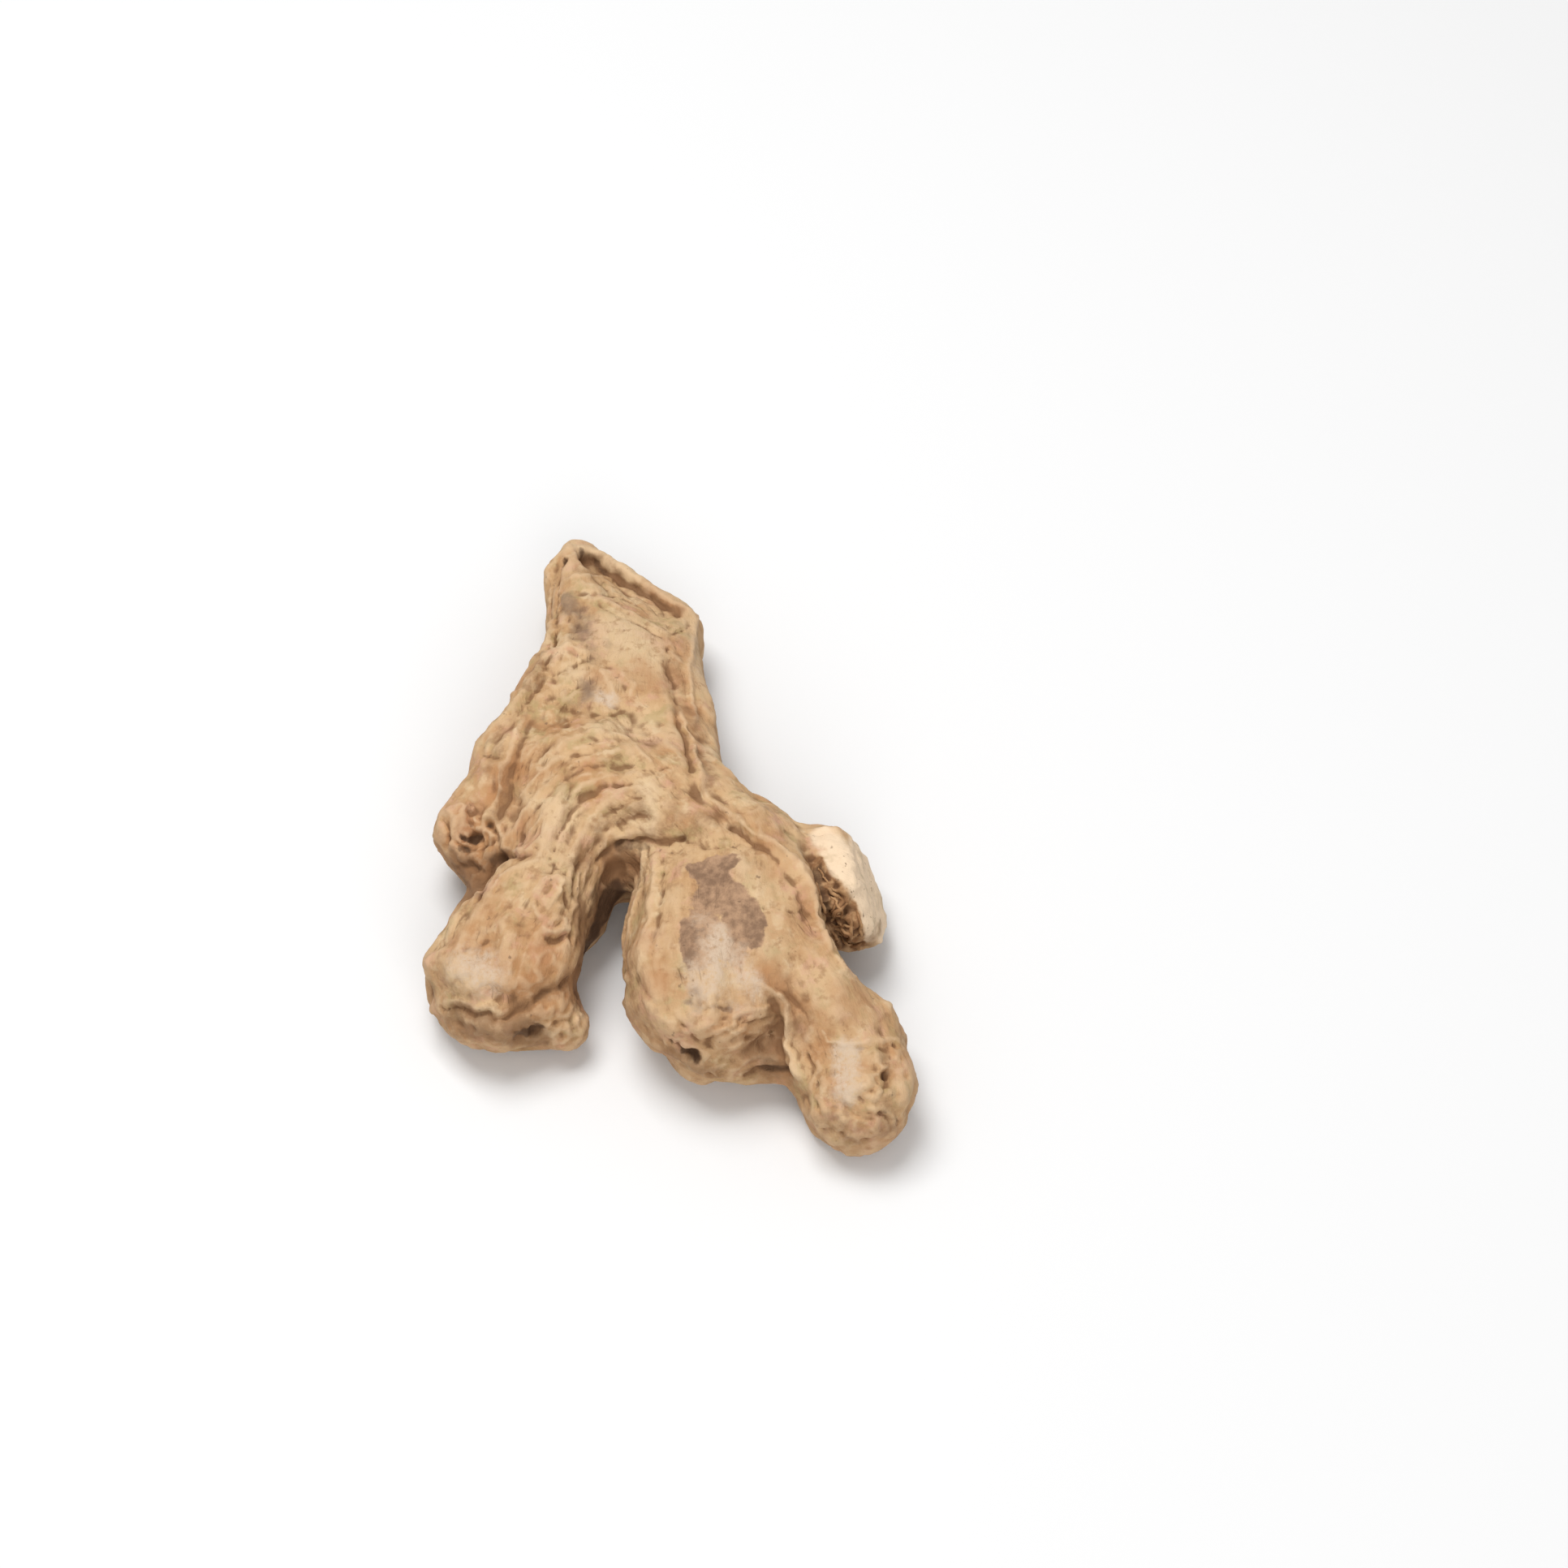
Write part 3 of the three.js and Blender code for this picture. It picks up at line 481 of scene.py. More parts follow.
# Painted areas: half width, strength, pixels. The darkest hollows are painted shade, and the browner areas
# are partly dirt and partly painted shade.
PAINTS = headed_rows("""
taut: skin that has stayed taut, with fewer wrinkles
1.6 1 706,678 748,692 800,725 842,752
5 1 760,775 780,800 770,840
3 0.8 858,790 862,850
5.5 1 870,1080 900,1120 890,1190
4 0.9 950,1090 970,1150 960,1190
4 0.5 590,1190 620,1210 650,1200
3.5 0.6 1020,1220 1050,1250
3 0.7 820,1130 815,1200
gathered: skin gathered into long fine pleats
4.5 1 790,996 750,1006 720,1040 704,1082
4.5 1 770,940 724,948 686,980 656,1020
2.4 0.9 720,1066 706,1110 706,1160
3 0.8 836,850 850,900 864,950 884,1000
2.6 0.8 802,1060 798,1120 786,1190
2.8 0.9 650,860 616,910 600,960
2.4 0.7 734,716 770,734 808,756
3.4 0.8 850,1270 900,1258 944,1246
2.8 0.7 1000,1300 1010,1350 1030,1390
crumpled: skin that has shrunk into small folds every way
4.2 1 572,1008 586,1040 598,1080
2.4 0.7 618,1020 624,1050
3.4 1 664,1268 692,1270 704,1262
2.6 0.8 560,1262 600,1270 640,1272
3.6 0.42 600,1110 630,1140 656,1190 660,1220
2.4 0.5 570,1214 610,1232 650,1226
2.2 0.7 680,1084 694,1112 684,1146
3 0.9 836,1290 862,1304 884,1322
3.4 1 1090,1312 1084,1340
3.4 0.9 1016,1380 1056,1396 1094,1384
2.6 0.7 940,1296 960,1310
1.6 0.8 690,742 712,770 722,850
3 0.8 668,800 680,840 700,866
2.2 0.6 600,905 626,880 650,850
3 0.6 880,1244 920,1262 940,1290
2.4 0.6 1004,1300 1016,1340 1040,1370
torn: the torn side of the stub
1.1 1 1003,1060 1010,1078 1020,1092
1.5 1 1026,1094 1036,1106 1046,1120 1048,1132
1.7 1 1020,1108 1028,1126 1036,1146 1044,1162
1.6 1 1046,1134 1048,1148 1052,1162 1060,1164
rind: the white rind of the stub
2 1 1014,1030 1030,1040 1046,1066
1.5 1 1018,1056 1034,1078 1046,1096
2.4 1 1054,1074 1068,1098 1076,1132 1074,1152
rubbed: the patch on the blunt end, rubbed down to the brown under the skin
1.5 1 856,1073 876,1068 900,1063
1.7 1 868,1082 888,1084 896,1096
2.8 1 874,1108 902,1110
1.6 1 908,1104 918,1118 930,1136 928,1156
2.2 0.9 908,1126 908,1150 900,1168
2.4 0.8 866,1124 868,1150 866,1176
1.3 1 850,1138 850,1162 852,1184
smoky: the darkest shares of the rubbed patch
1.9 1 856,1074 872,1084 896,1072
1.6 0.7 862,1100 880,1100
1.5 1 924,1124 930,1140 926,1160
1.2 1 848,1140 848,1162 850,1184
1.8 0.5 900,1110 906,1130 908,1150
1 0.9 892,1204 896,1214
1.2 0.8 850,1234 854,1238
smudge: soft grey smudges
1.5 0.9 700,738 704,752
1.9 0.8 712,756 720,768 716,784
1.4 0.5 722,776 728,800 732,812
1.4 0.9 722,846 724,858
1.2 0.5 746,790 752,800
1 0.5 706,866 716,872
1.4 0.5 852,1226 860,1240
1.6 0.8 572,1074 579,1088 583,1098
chalk: chalky white bloom
3 0.75 866,1196 878,1206 866,1220
2.2 0.9 882,1156 886,1180 880,1196
2.6 0.75 906,1186 914,1204 926,1214
2 0.5 866,1130 870,1150
1.6 0.5 860,1240 876,1236
3.2 0.8 572,1184 592,1192 600,1200
2.4 0.95 1042,1296 1044,1320 1042,1346
1.4 0.9 738,856 750,862
1.8 0.4 856,790 858,830
1.6 0.4 900,1236 930,1246
orange: warmer, orange skin
3.6 0.9 640,1176 664,1192 650,1212
3.2 0.8 900,1262 930,1284 950,1296
2.4 0.8 976,1236 1000,1254 1010,1290
2 0.6 884,1268 900,1278 922,1282
2.4 0.9 936,1282 950,1300 962,1312
1.8 0.8 946,1200 962,1220 974,1244
2.6 0.8 790,1160 806,1176 806,1206
3.4 0.5 640,940 620,990 640,1016
1.8 0.9 800,726 834,752
2.4 0.5 782,820 812,850
2.6 0.8 756,1066 770,1074 784,1078
2.8 0.8 612,1050 640,1040 650,1020
2.4 0.8 600,990 620,970 634,950
3.4 1 558,1050 576,1060 596,1070
2.2 0.7 566,1016 584,1022 600,1030
2.4 0.7 640,1240 664,1236 690,1226
2 0.7 710,1190 704,1216
2.2 0.7 1070,1310 1086,1322
2.6 0.5 560,1150 600,1126
5 0.45 600,1130 640,1160 680,1200
2.6 0.7 838,810 842,850 850,900
2.4 0.6 742,832 762,840 776,852
3 0.5 900,1010 950,1050 984,1090
2.4 0.6 660,960 690,950 720,948
3 0.5 1040,1230 1080,1260 1100,1290
3 0.5 940,1060 980,1110 1000,1160
pale: paler, cleaner skin
4.4 0.9 764,776 784,800 800,812
1.5 1 706,676 748,690 800,723 846,754
2 0.6 852,762 858,800 862,850
1.6 1 796,968 802,990 800,1020
2.4 0.7 926,1064 934,1090
5 0.35 940,1140 950,1190 990,1230
4 0.35 1020,1220 1060,1256
3.5 0.45 866,1240 900,1262 920,1280
2.6 0.35 816,1110 818,1200
3 0.35 640,1000 670,1010 700,1020
2.6 0.6 700,1000 686,1030 680,1060
2.2 1 756,1076 770,1084 786,1086
2.6 0.5 740,896 790,900 820,906
1.4 0.9 700,826 736,836 756,842
0.9 0.9 957,1224 967,1238 971,1266 972,1292 982,1322
dirty: browner skin with dirt on it
2.6 0.9 592,1088 604,1070 620,1060
2.2 0.8 560,1262 600,1272 640,1278
2.4 1 632,1268 650,1264 660,1280
2.2 0.9 714,1120 716,1170 708,1220
2.8 1 734,1140 742,1112 752,1086 762,1060
3.6 1 572,1072 584,1096 600,1080
2 0.7 940,1300 962,1312 930,1322
2 0.6 820,1290 850,1312 880,1322
1.8 0.7 1008,1076 1018,1106 1030,1150
2 0.6 1082,1148 1072,1158 1062,1163
1.6 0.8 720,694 746,706
0.9 0.8 750,705 784,728 808,742 836,757
1.6 0.5 826,812 830,850 836,880
1.8 0.5 664,812 650,846
2.6 0.5 1020,1380 1050,1400 1090,1390
1.6 0.5 1086,1300 1094,1330 1090,1360
1.8 0.5 640,880 612,912 596,950
1.4 0.6 628,950 622,980 616,1010
2.6 0.5 960,1216 976,1240 984,1260
2.4 0.9 930,1288 946,1304 958,1316
1.2 0.8 950,1246 956,1270 958,1292
1.6 0.6 850,880 862,930 876,970
2.2 0.5 738,1020 756,1006 786,1004
1.6 0.6 708,1068 722,1052 738,1036
1.8 0.9 714,1180 706,1210 708,1230
1.6 0.7 620,1254 644,1242 672,1226 700,1208
1.2 0.8 556,1246 586,1250 612,1258
1.8 0.6 776,1180 778,1220 790,1250
1.8 0.5 790,1000 806,1030
2.6 0.45 890,1010 860,1016 830,1010
dark: the darkest hollows
0.6 0.9 570,1031 588,1035
0.5 0.8 566,1046 580,1050
0.6 0.6 580,1064 592,1066
0.4 0.5 550,1026 552,1040
0.4 0.7 604,1016 610,1024
0.9 1 844,1297 856,1303
0.4 0.8 1089,1324 1094,1336
0.4 0.5 1084,1374 1090,1372
0.6 0.9 697,692 698,697
0.5 0.7 716,682 718,692
0.5 0.7 732,692 748,703
0.9 0.8 634,1274 648,1270 664,1262
0.8 0.7 940,1318 966,1318
0.9 0.7 762,1044 780,1042 796,1046
2.2 1 756,1098 748,1110 742,1124
1.7 1 740,1132 732,1148 724,1164
1.2 0.6 738,1084 732,1104 728,1124
0.9 0.5 600,1088 594,1098 586,1104
1 0.6 612,1058 622,1054
0.6 0.35 848,1234 852,1238
0.5 0.8 826,1283 828,1286
0.6 0.8 1006,1066 1012,1090 1020,1124
""")
# Loose strands over the torn side: radius, pixels.
STRANDS = rows("""
0.3 1011,1090 1022,1095 1031,1101 1042,1113
0.34 1050,1109 1038,1117 1030,1126 1022,1140
0.32 1046,1120 1049,1136 1047,1150 1046,1162
0.3 1024,1144 1028,1152 1031,1160 1035,1167
0.26 1032,1132 1040,1146 1048,1153 1057,1156
0.28 1004,1080 1009,1100 1013,1116 1022,1132
0.26 1052,1114 1058,1128 1060,1142 1063,1158
0.3 1038,1166 1046,1163 1056,1165 1064,1161
0.22 1018,1100 1030,1110 1036,1124 1036,1140
0.24 1014,1118 1024,1126 1036,1128 1050,1126
0.2 1026,1096 1030,1112 1026,1124 1028,1140
0.24 1020,1134 1030,1142 1042,1140 1056,1144
0.22 1034,1150 1040,1158 1048,1164 1055,1166
0.18 1004,1066 1012,1074 1018,1086 1028,1092
""")
STRAND_SPACING = 0.35  # of its rings
STRAND_SIDES = 7
STRAND_TIP = 0.5  # radius at its ends, as a share of the radius in its middle
STRAND_LIFT = 0.35  # how far the middle of a strand stands off the skin
STRAND_SUNK = 0.5  # how deep its ends lie under the skin
PIXELS_PER_STEP = 4  # a line of pixels is cast onto the skin this often


class Skin:
    """The undressed skin, onto which lines of pixels are cast."""

    def __init__(self, points, triangles):
        self.tree = BVHTree.FromPolygons(points.tolist(), triangles.tolist())

    def cast(self, u, v):
        hit, _, _, _ = self.tree.ray_cast(Vector(CAMERA_EYE), Vector(pixel_direction(u, v)).normalized())
        return hit

    def outwards(self, places):
        """The skin's outward directions at places on it."""
        return np.array([self.tree.find_nearest(Vector(place))[1][:] for place in places])

    def line(self, pixels):
        """Points on the skin under a line of pixels."""
        places = []
        for start, end in zip(pixels, pixels[1:]):
            steps = max(1, round(math.dist(start, end) / PIXELS_PER_STEP))
            for step in range(steps):
                t = step / steps
                places.append((start[0] + (end[0] - start[0]) * t, start[1] + (end[1] - start[1]) * t))
        places.append(pixels[-1])
        hits = [self.cast(*place) for place in places]
        return np.array([hit[:] for hit in hits if hit is not None]).reshape(-1, 3)


def distance_to_line(points, line, reach):
    """Each point's distance to a line of points, or infinity beyond the reach."""
    away = np.full(len(points), np.inf)
    if len(line) == 0:
        return away
    near = np.all((points > line.min(axis=0) - reach) & (points < line.max(axis=0) + reach), axis=1)
    here = points[near]
    best = np.full(len(here), np.inf)
    if len(line) == 1:
        best = np.linalg.norm(here - line[0], axis=1)
    for start, end in zip(line, line[1:]):
        span = end - start
        t = np.clip((here - start) @ span / max(span @ span, 1e-9), 0, 1)
        best = np.minimum(best, np.linalg.norm(here - start - t[:, None] * span, axis=1))
    away[near] = best
    return away


# ---------------- sculpting the skin
# How far the bends of the skin carry each seeded pattern along and across the branch, and how far its
# ripples do.
PLEAT_STRAY = ((0.15, 0.45, 0.45), 0.06)
RIDGE_STRAY = ((0.2, 0.5, 0.5), 0.05)
CRACK_STRAY = ((0.5, 0.5, 0.5), 0.12)
BEND_SIZE = 11.0
RIPPLE_SIZE = 3.1
# Pleats along the branches, round on top with sharp creases between:
# [height, spacing across, length along].
PLEATS = [[0.75, 4.2, 15.0], [0.50, 2.1, 8.5], [0.28, 1.1, 4.5]]
PLEAT_PLACES = [7.0, -0.10, 0.55]  # where pleats are strong: size of the places, noise from and to
PLEAT_WEAK = 0.10  # strength elsewhere
PLEAT_RANGE = 0.80  # how much more it is there
PLEAT_TOP = 0.55  # share of a pleat's height that stands over the plain skin
PLEAT_CREASE = 0.24  # half width of a crease in noise units
CREASE_HOLD = 0.35  # width of a crease line where pleats are weak, as a share
GATHERED = 0.95  # strength of the pleats where they are gathered
# Thin raised folds of skin: [height, spacing across, length along, half width in noise units].
RIDGES = [[0.45, 5.6, 24.0, 0.14], [0.25, 3.2, 11.0, 0.16]]
RIDGE_PLACES = [8.0, 0.0, 0.4]  # as for the pleats
RIDGE_SHARPNESS = 1.3
# Cracks across the branches: [depth, size along, size across, half width in noise units].
CROSS_CRACKS = [0.16, 3.4, 8.5, 0.10]
CRACK_PLACES = [6.0, 0.1, 0.4]
LUMPS = [[0.25, 5.2], [0.18, 2.6], [0.10, 1.3]]  # [height, size]
LUMPS_GATHERED = 0.7  # share of the lumps that gathered skin lacks
EDGE_WANDER = [[0.55, 3.0], [0.3, 1.1]]  # how far and how often the edge of a mark strays

# The listed marks. Reaches are in half widths.
FOLD_GAIN = 1.40
FOLD_SHARPNESS = 1.5
FOLD_REACH = 5
HIGHEST_FOLD = 1.1
CALM_WIDTH = 2.5  # how far round a fold the seeded relief is calmer
PIT_REACH = 4
PIT_LIP = [0.25, 1.7, 0.5]  # share of the depth, its place and width
SCAR_INNER_RING = [0.5, 0.45]  # share of the height, share of the radius
SCAR_EYE = [0.6, 2.4]  # depth as a share of the height, sharpness

STUB_FACE_POINT = np.array([31.0, -13.3, 10.0])
STUB_FACE_NORMAL = np.array([0.93, 0.12, 0.34]) / np.linalg.norm([0.93, 0.12, 0.34])
STUB_FACING = (0.15, 0.6)  # how squarely the skin has to face that way
STUB_RADIUS = 9.0
STUB_EDGE = 1.5
STUB_CRUST = 5.0  # how far the white crumbled flesh reaches back from the broken face
CRUMBS = [[0.4, 2.2], [0.22, 1.0]]  # [height, size]
# Thin ridges that run every way, as on crumpled paper: [height, size]
CRUMPLES = [[0.75, 3.4], [0.50, 1.7]]
CRUMPLE_WIDTH = 0.20  # half width in noise units
CRUMPLE_LEVEL = 0.4  # share of a ridge's height that lies under the plain skin
CRUMPLED_EVERYWHERE = 0.32
ROPES = [1.2, 1.7, 0.30]  # strands in the torn side: height, spacing, width in noise units
TORN_DEPTH = 0.8

WORN_CHALK = 0.9  # how worn chalky skin is
WORN_CALM = 0.75  # share of the seeded relief that worn skin lacks
MARK_CALM = 0.5  # share that skin round a listed fold lacks
FLANK_CALM = 0.35  # share that the flanks lack
FLANK_ROUNDS = 30  # rounds of averaging before the way the skin faces makes it a flank
FLANK_FACING = (0.05, 0.70)  # upward part of the way the skin faces, on a flank and on top
SOFTENING = 1  # rounds of averaging over the relief, so that no fold ends in a spike
GROUND_FADE = (0.3, 2.4)  # the relief fades in between these heights over the ground
FINE_ROUNDS = 10  # rounds of averaging for the skin that fine relief stands over
BROAD_ROUNDS = 90
SEEDED_RIDGE = 0.8  # how strongly a seeded ridge is coloured, next to a listed one
SETTLED = (0.75, 0.98)  # share of one branch at which its grain shows, between none and all


def wandering(points):
    """The points shifted a little by noise, so that what is measured from them has a ragged edge."""
    shifted = points.copy()
    for index, (amount, size) in enumerate(EDGE_WANDER):
        for axis in range(3):
            shifted[:, axis] += amount * noise("edges", index * 3 + axis, points / size)
    return shifted


def strayed(places, spacing, bend, ripple, stray):
    """Places along a branch in spacings, carried off by the skin's bends and ripples."""
    by_bend, by_ripple = stray
    return places / spacing + bend * by_bend + ripple * by_ripple


def pleated(points, places, bend, ripple, gathered):
    """One branch's seeded pleats, ridges and cracks.

    Returns their height, where the ridges run, and the fields whose zero lines are creases.
    """
    height = np.zeros(len(points))
    fields = []
    size, low, high = PLEAT_PLACES
    for index, (amount, across, along) in enumerate(PLEATS):
        wave = noise("pleats", index, strayed(places, (along, across, across), bend, ripple, PLEAT_STRAY))
        here = smoothstep(low, high, noise("pleat_places", index, points / size))
        strength = np.maximum(PLEAT_WEAK + PLEAT_RANGE * here, GATHERED * gathered)
        height += amount * strength * (PLEAT_TOP - np.exp(-np.abs(wave) / PLEAT_CREASE))
        fields.append(wave / (CREASE_HOLD + (1 - CREASE_HOLD) * strength))
    ridge = np.zeros(len(points))
    size, low, high = RIDGE_PLACES
    for index, (amount, across, along, width) in enumerate(RIDGES):
        wave = noise("ridges", index, strayed(places, (along, across, across), bend, ripple, RIDGE_STRAY))
        line = np.exp(-(np.abs(wave) / width) ** RIDGE_SHARPNESS)
        here = smoothstep(low, high, noise("ridge_places", index, points / size))
        height += amount * here * line
        ridge = np.maximum(ridge, here * line)
    depth, along, across, width = CROSS_CRACKS
    field = noise("cracks", 0, strayed(places, (along, across, across), bend, ripple, CRACK_STRAY))
    size, low, high = CRACK_PLACES
    here = smoothstep(low, high, noise("crack_places", 0, points / size))
    height -= depth * here * np.exp(-(field / width) ** 2)
    fields.append(field + 1 - here)
    return height, ridge, np.stack(fields[1:], axis=1)


def wrinkled(points, places, shares, gathered):
    """Height of all seeded relief, where thin ridges run, and the fields whose zero lines are creases."""
    bend = np.stack([noise("bend", axis, points / BEND_SIZE) for axis in range(3)], axis=1)
    ripple = np.stack([noise("ripple", axis, points / RIPPLE_SIZE) for axis in range(3)], axis=1)
    height = np.zeros(len(points))
    ridge = np.zeros(len(points))
    fields = np.zeros((len(points), 3))
    for place, share in zip(places, shares):
        on = share > 0
        own = pleated(points[on], place[on], bend[on], ripple[on], gathered[on])
        height[on] += share[on] * own[0]
        ridge[on] += share[on] * own[1]
        fields[on] += share[on, None] * own[2]
    for index, (amount, size) in enumerate(LUMPS):
        height += amount * (1 - LUMPS_GATHERED * gathered) * noise("lumps", index, points / size)
    return height, ridge, fields


def painted(points, skin, name):
    """How much of a paint lies on each point, from 0 to 1."""
    edge = SHARP_EDGE if name in SHARP_PAINTS else SOFT_EDGE
    amount = np.zeros(len(points))
    for width, strength, pixels in PAINTS[name]:
        line = skin.line(pixels)
        away = distance_to_line(points, line, width * (1 + edge))
        amount = np.maximum(amount, strength * (1 - smoothstep(1 - edge, 1 + edge, away / width)))
    return amount


def marked(points, skin):
    """The listed marks: their height, where folds rise and sink, and how calm the skin is there."""
    height = np.zeros(len(points))
    raised = np.zeros(len(points))
    sunken = np.zeros(len(points))
    calm = np.zeros(len(points))
    for amount, width, pixels in FOLDS.values():
        away = distance_to_line(points, skin.line(pixels), width * FOLD_REACH)
        profile = np.exp(-(away / width) ** FOLD_SHARPNESS)
        height += FOLD_GAIN * amount * profile
        calm = np.maximum(calm, np.exp(-(away / width / CALM_WIDTH) ** 2))
        if amount > 0:
            raised = np.maximum(raised, profile)
        else:
            sunken = np.maximum(sunken, profile * min(1, -amount))
    height = np.minimum(height, HIGHEST_FOLD)
    for depth, width, pixel in PITS.values():
        away = distance_to_line(points, skin.line(pixel), width * PIT_REACH)
        share, place, spread = PIT_LIP
        lip = share * np.exp(-((away / width - place) / spread) ** 2)
        height += depth * (lip - np.exp(-(away / width) ** 2))
    for scar in SCARS.values():
        height += scar_rings(points, skin, *scar)
    return height, raised, sunken, calm


def scar_rings(points, skin, amount, width, across, along, pixel):
    """Height of the two rings and the sunken eye that an old stem has left."""
    offset = points - skin.line(pixel)[0]
    near = np.linalg.norm(offset, axis=1) < 2 * along
    radius = np.hypot(offset[:, 0] / across, offset[:, 1] / along)
    share, place = SCAR_INNER_RING
    ring = np.exp(-((radius - 1) * across / width) ** 2)
    ring += share * np.exp(-((radius - place) * across / width) ** 2)
    depth, sharpness = SCAR_EYE
    return np.where(near, amount * (ring - depth * np.exp(-(radius * sharpness) ** 2)), 0)


def stub_crust(points, normals):
    """How much each point belongs to the broken white face of the stub."""
    offset = points - STUB_FACE_POINT
    behind = -offset @ STUB_FACE_NORMAL
    beside = np.linalg.norm(offset + behind[:, None] * STUB_FACE_NORMAL, axis=1)
    facing = smoothstep(*STUB_FACING, normals @ STUB_FACE_NORMAL)
    near = 1 - smoothstep(0.5 * STUB_CRUST, STUB_CRUST, behind)
    return near * facing * (1 - smoothstep(STUB_RADIUS, STUB_RADIUS + STUB_EDGE, beside))


def sculpt():
    """The dressed skin's points and triangles, and the values that colour it."""
    points, triangles = node_mesh(NODE)
    points, triangles = subdivide(*subdivide(points, triangles))
    normals = normals_of(points, triangles)
    average = Averager(triangles, len(points))
    side = 1 - smoothstep(*FLANK_FACING, average(normals, FLANK_ROUNDS)[:, 2])
    places, shares = on_branches(points)
    skin = Skin(points, triangles)
    ragged = wandering(points)
    paints = {name: painted(ragged, skin, name) for name in PAINTS}
    crust = np.maximum(stub_crust(ragged, normals), paints.pop("rind"))
    crust *= 1 - paints["torn"]
    worn = np.maximum.reduce([paints.pop("taut"), paints["rubbed"], WORN_CHALK * paints["chalk"], crust,
                              paints["torn"]])
    gathered = paints.pop("gathered")
    seeded, ridge, creases = wrinkled(points, places, shares, gathered)
    by_hand, raised, sunken, calm = marked(ragged, skin)
    height = seeded * (1 - WORN_CALM * worn) * (1 - MARK_CALM * calm) * (1 - FLANK_CALM * side) + by_hand
    for index, (amount, size) in enumerate(CRUMBS):
        height += crust * amount * noise("crumbs", index, points / size)
    crumpled = CRUMPLED_EVERYWHERE * (1 - worn) * (1 - FLANK_CALM * side) * (1 - gathered)
    crumpled = np.maximum(crumpled, paints.pop("crumpled"))
    for index, (amount, size) in enumerate(CRUMPLES):
        line = np.exp(-np.abs(noise("crumples", index, ragged / size)) / CRUMPLE_WIDTH)
        height += crumpled * amount * (line - CRUMPLE_LEVEL)
        ridge = np.maximum(ridge, crumpled * line)
    amount, size, width = ROPES
    ropes = np.exp(-(noise("ropes", 0, ragged / size) / width) ** 2)
    height += paints["torn"] * (amount * ropes - TORN_DEPTH)
    height = average(height, SOFTENING) * smoothstep(*GROUND_FADE, points[:, 2])
    shaped = points + normals * height[:, None]
    shaped[:, 2] = np.maximum(shaped[:, 2], 0)
    normals = normals_of(shaped, triangles)
    values = dict(
        paints, side=side, crust=crust, sunken=sunken, creases=creases,
        # Painted shade between the strands of the torn side.
        gap_shade=paints["torn"] * (1 - ropes),
        fine=dot(shaped - average(shaped, FINE_ROUNDS), normals),
        broad=dot(shaped - average(shaped, BROAD_ROUNDS), normals),
        ridge=np.maximum(ridge * SEEDED_RIDGE, raised),
        grain=places[shares.argmax(axis=0), np.arange(len(points))],
        settled=smoothstep(*SETTLED, shares.max(axis=0)))
    return shaped, triangles, values


def tube(line, radii):
    """A closed tube round a line of points, with a pointed end at each end of the line."""
    along = unit(np.gradient(line, axis=0))
    across = unit(np.cross(along, CAMERA_BACK))
    over = np.cross(across, along)
    angles = np.arange(STRAND_SIDES) * 2 * math.pi / STRAND_SIDES
    rings = (line[:, None] + radii[:, None, None] * (np.cos(angles)[:, None] * across[:, None]
                                                     + np.sin(angles)[:, None] * over[:, None]))
    tips = [line[:1] - along[:1] * radii[0], line[-1:] + along[-1:] * radii[-1]]
    points = np.vstack([rings.reshape(-1, 3), *tips])
    triangles = []
    for ring in range(len(line) - 1):
        for side in range(STRAND_SIDES):
            a = ring * STRAND_SIDES + side
            b = ring * STRAND_SIDES + (side + 1) % STRAND_SIDES
            triangles += [(a, b, b + STRAND_SIDES), (a, b + STRAND_SIDES, a + STRAND_SIDES)]
    last = (len(line) - 1) * STRAND_SIDES
    for side in range(STRAND_SIDES):
        after = (side + 1) % STRAND_SIDES
        triangles += [(after, side, len(points) - 2), (last + side, last + after, len(points) - 1)]
    return points, np.array(triangles)


def strands(skin):
    """All loose strands as one mesh. Each rises out of the sculpted skin and dips back into it."""
    points = np.zeros((0, 3))
    triangles = np.zeros((0, 3), dtype=int)
    for radius, pixels in STRANDS:
        line = smooth_line(skin.line(pixels), STRAND_SPACING)
        share = np.linspace(0, 1, len(line))
        bow = np.sin(math.pi * share)
        line = line + skin.outwards(line) * (bow * (STRAND_LIFT + STRAND_SUNK) - STRAND_SUNK)[:, None]
        own_points, own_triangles = tube(line, radius * (STRAND_TIP + (1 - STRAND_TIP) * bow))
        triangles = np.vstack([triangles, own_triangles + len(points)])
        points = np.vstack([points, own_points])
    return points, triangles


def make_mesh(name, points, triangles):
    mesh = bpy.data.meshes.new(name)
    mesh.from_pydata((points * MM).tolist(), [], triangles.tolist())
    mesh.polygons.foreach_set("use_smooth", np.ones(len(triangles), dtype=bool))
    piece = bpy.data.objects.new(name, mesh)
    bpy.context.scene.collection.objects.link(piece)
    return piece


def store(mesh, name, values):
    kind = "FLOAT" if values.ndim == 1 else "FLOAT_VECTOR"
    layer = mesh.attributes.new(name, kind, "POINT")
    layer.data.foreach_set("value" if values.ndim == 1 else "vector", values.astype(np.float32).ravel())


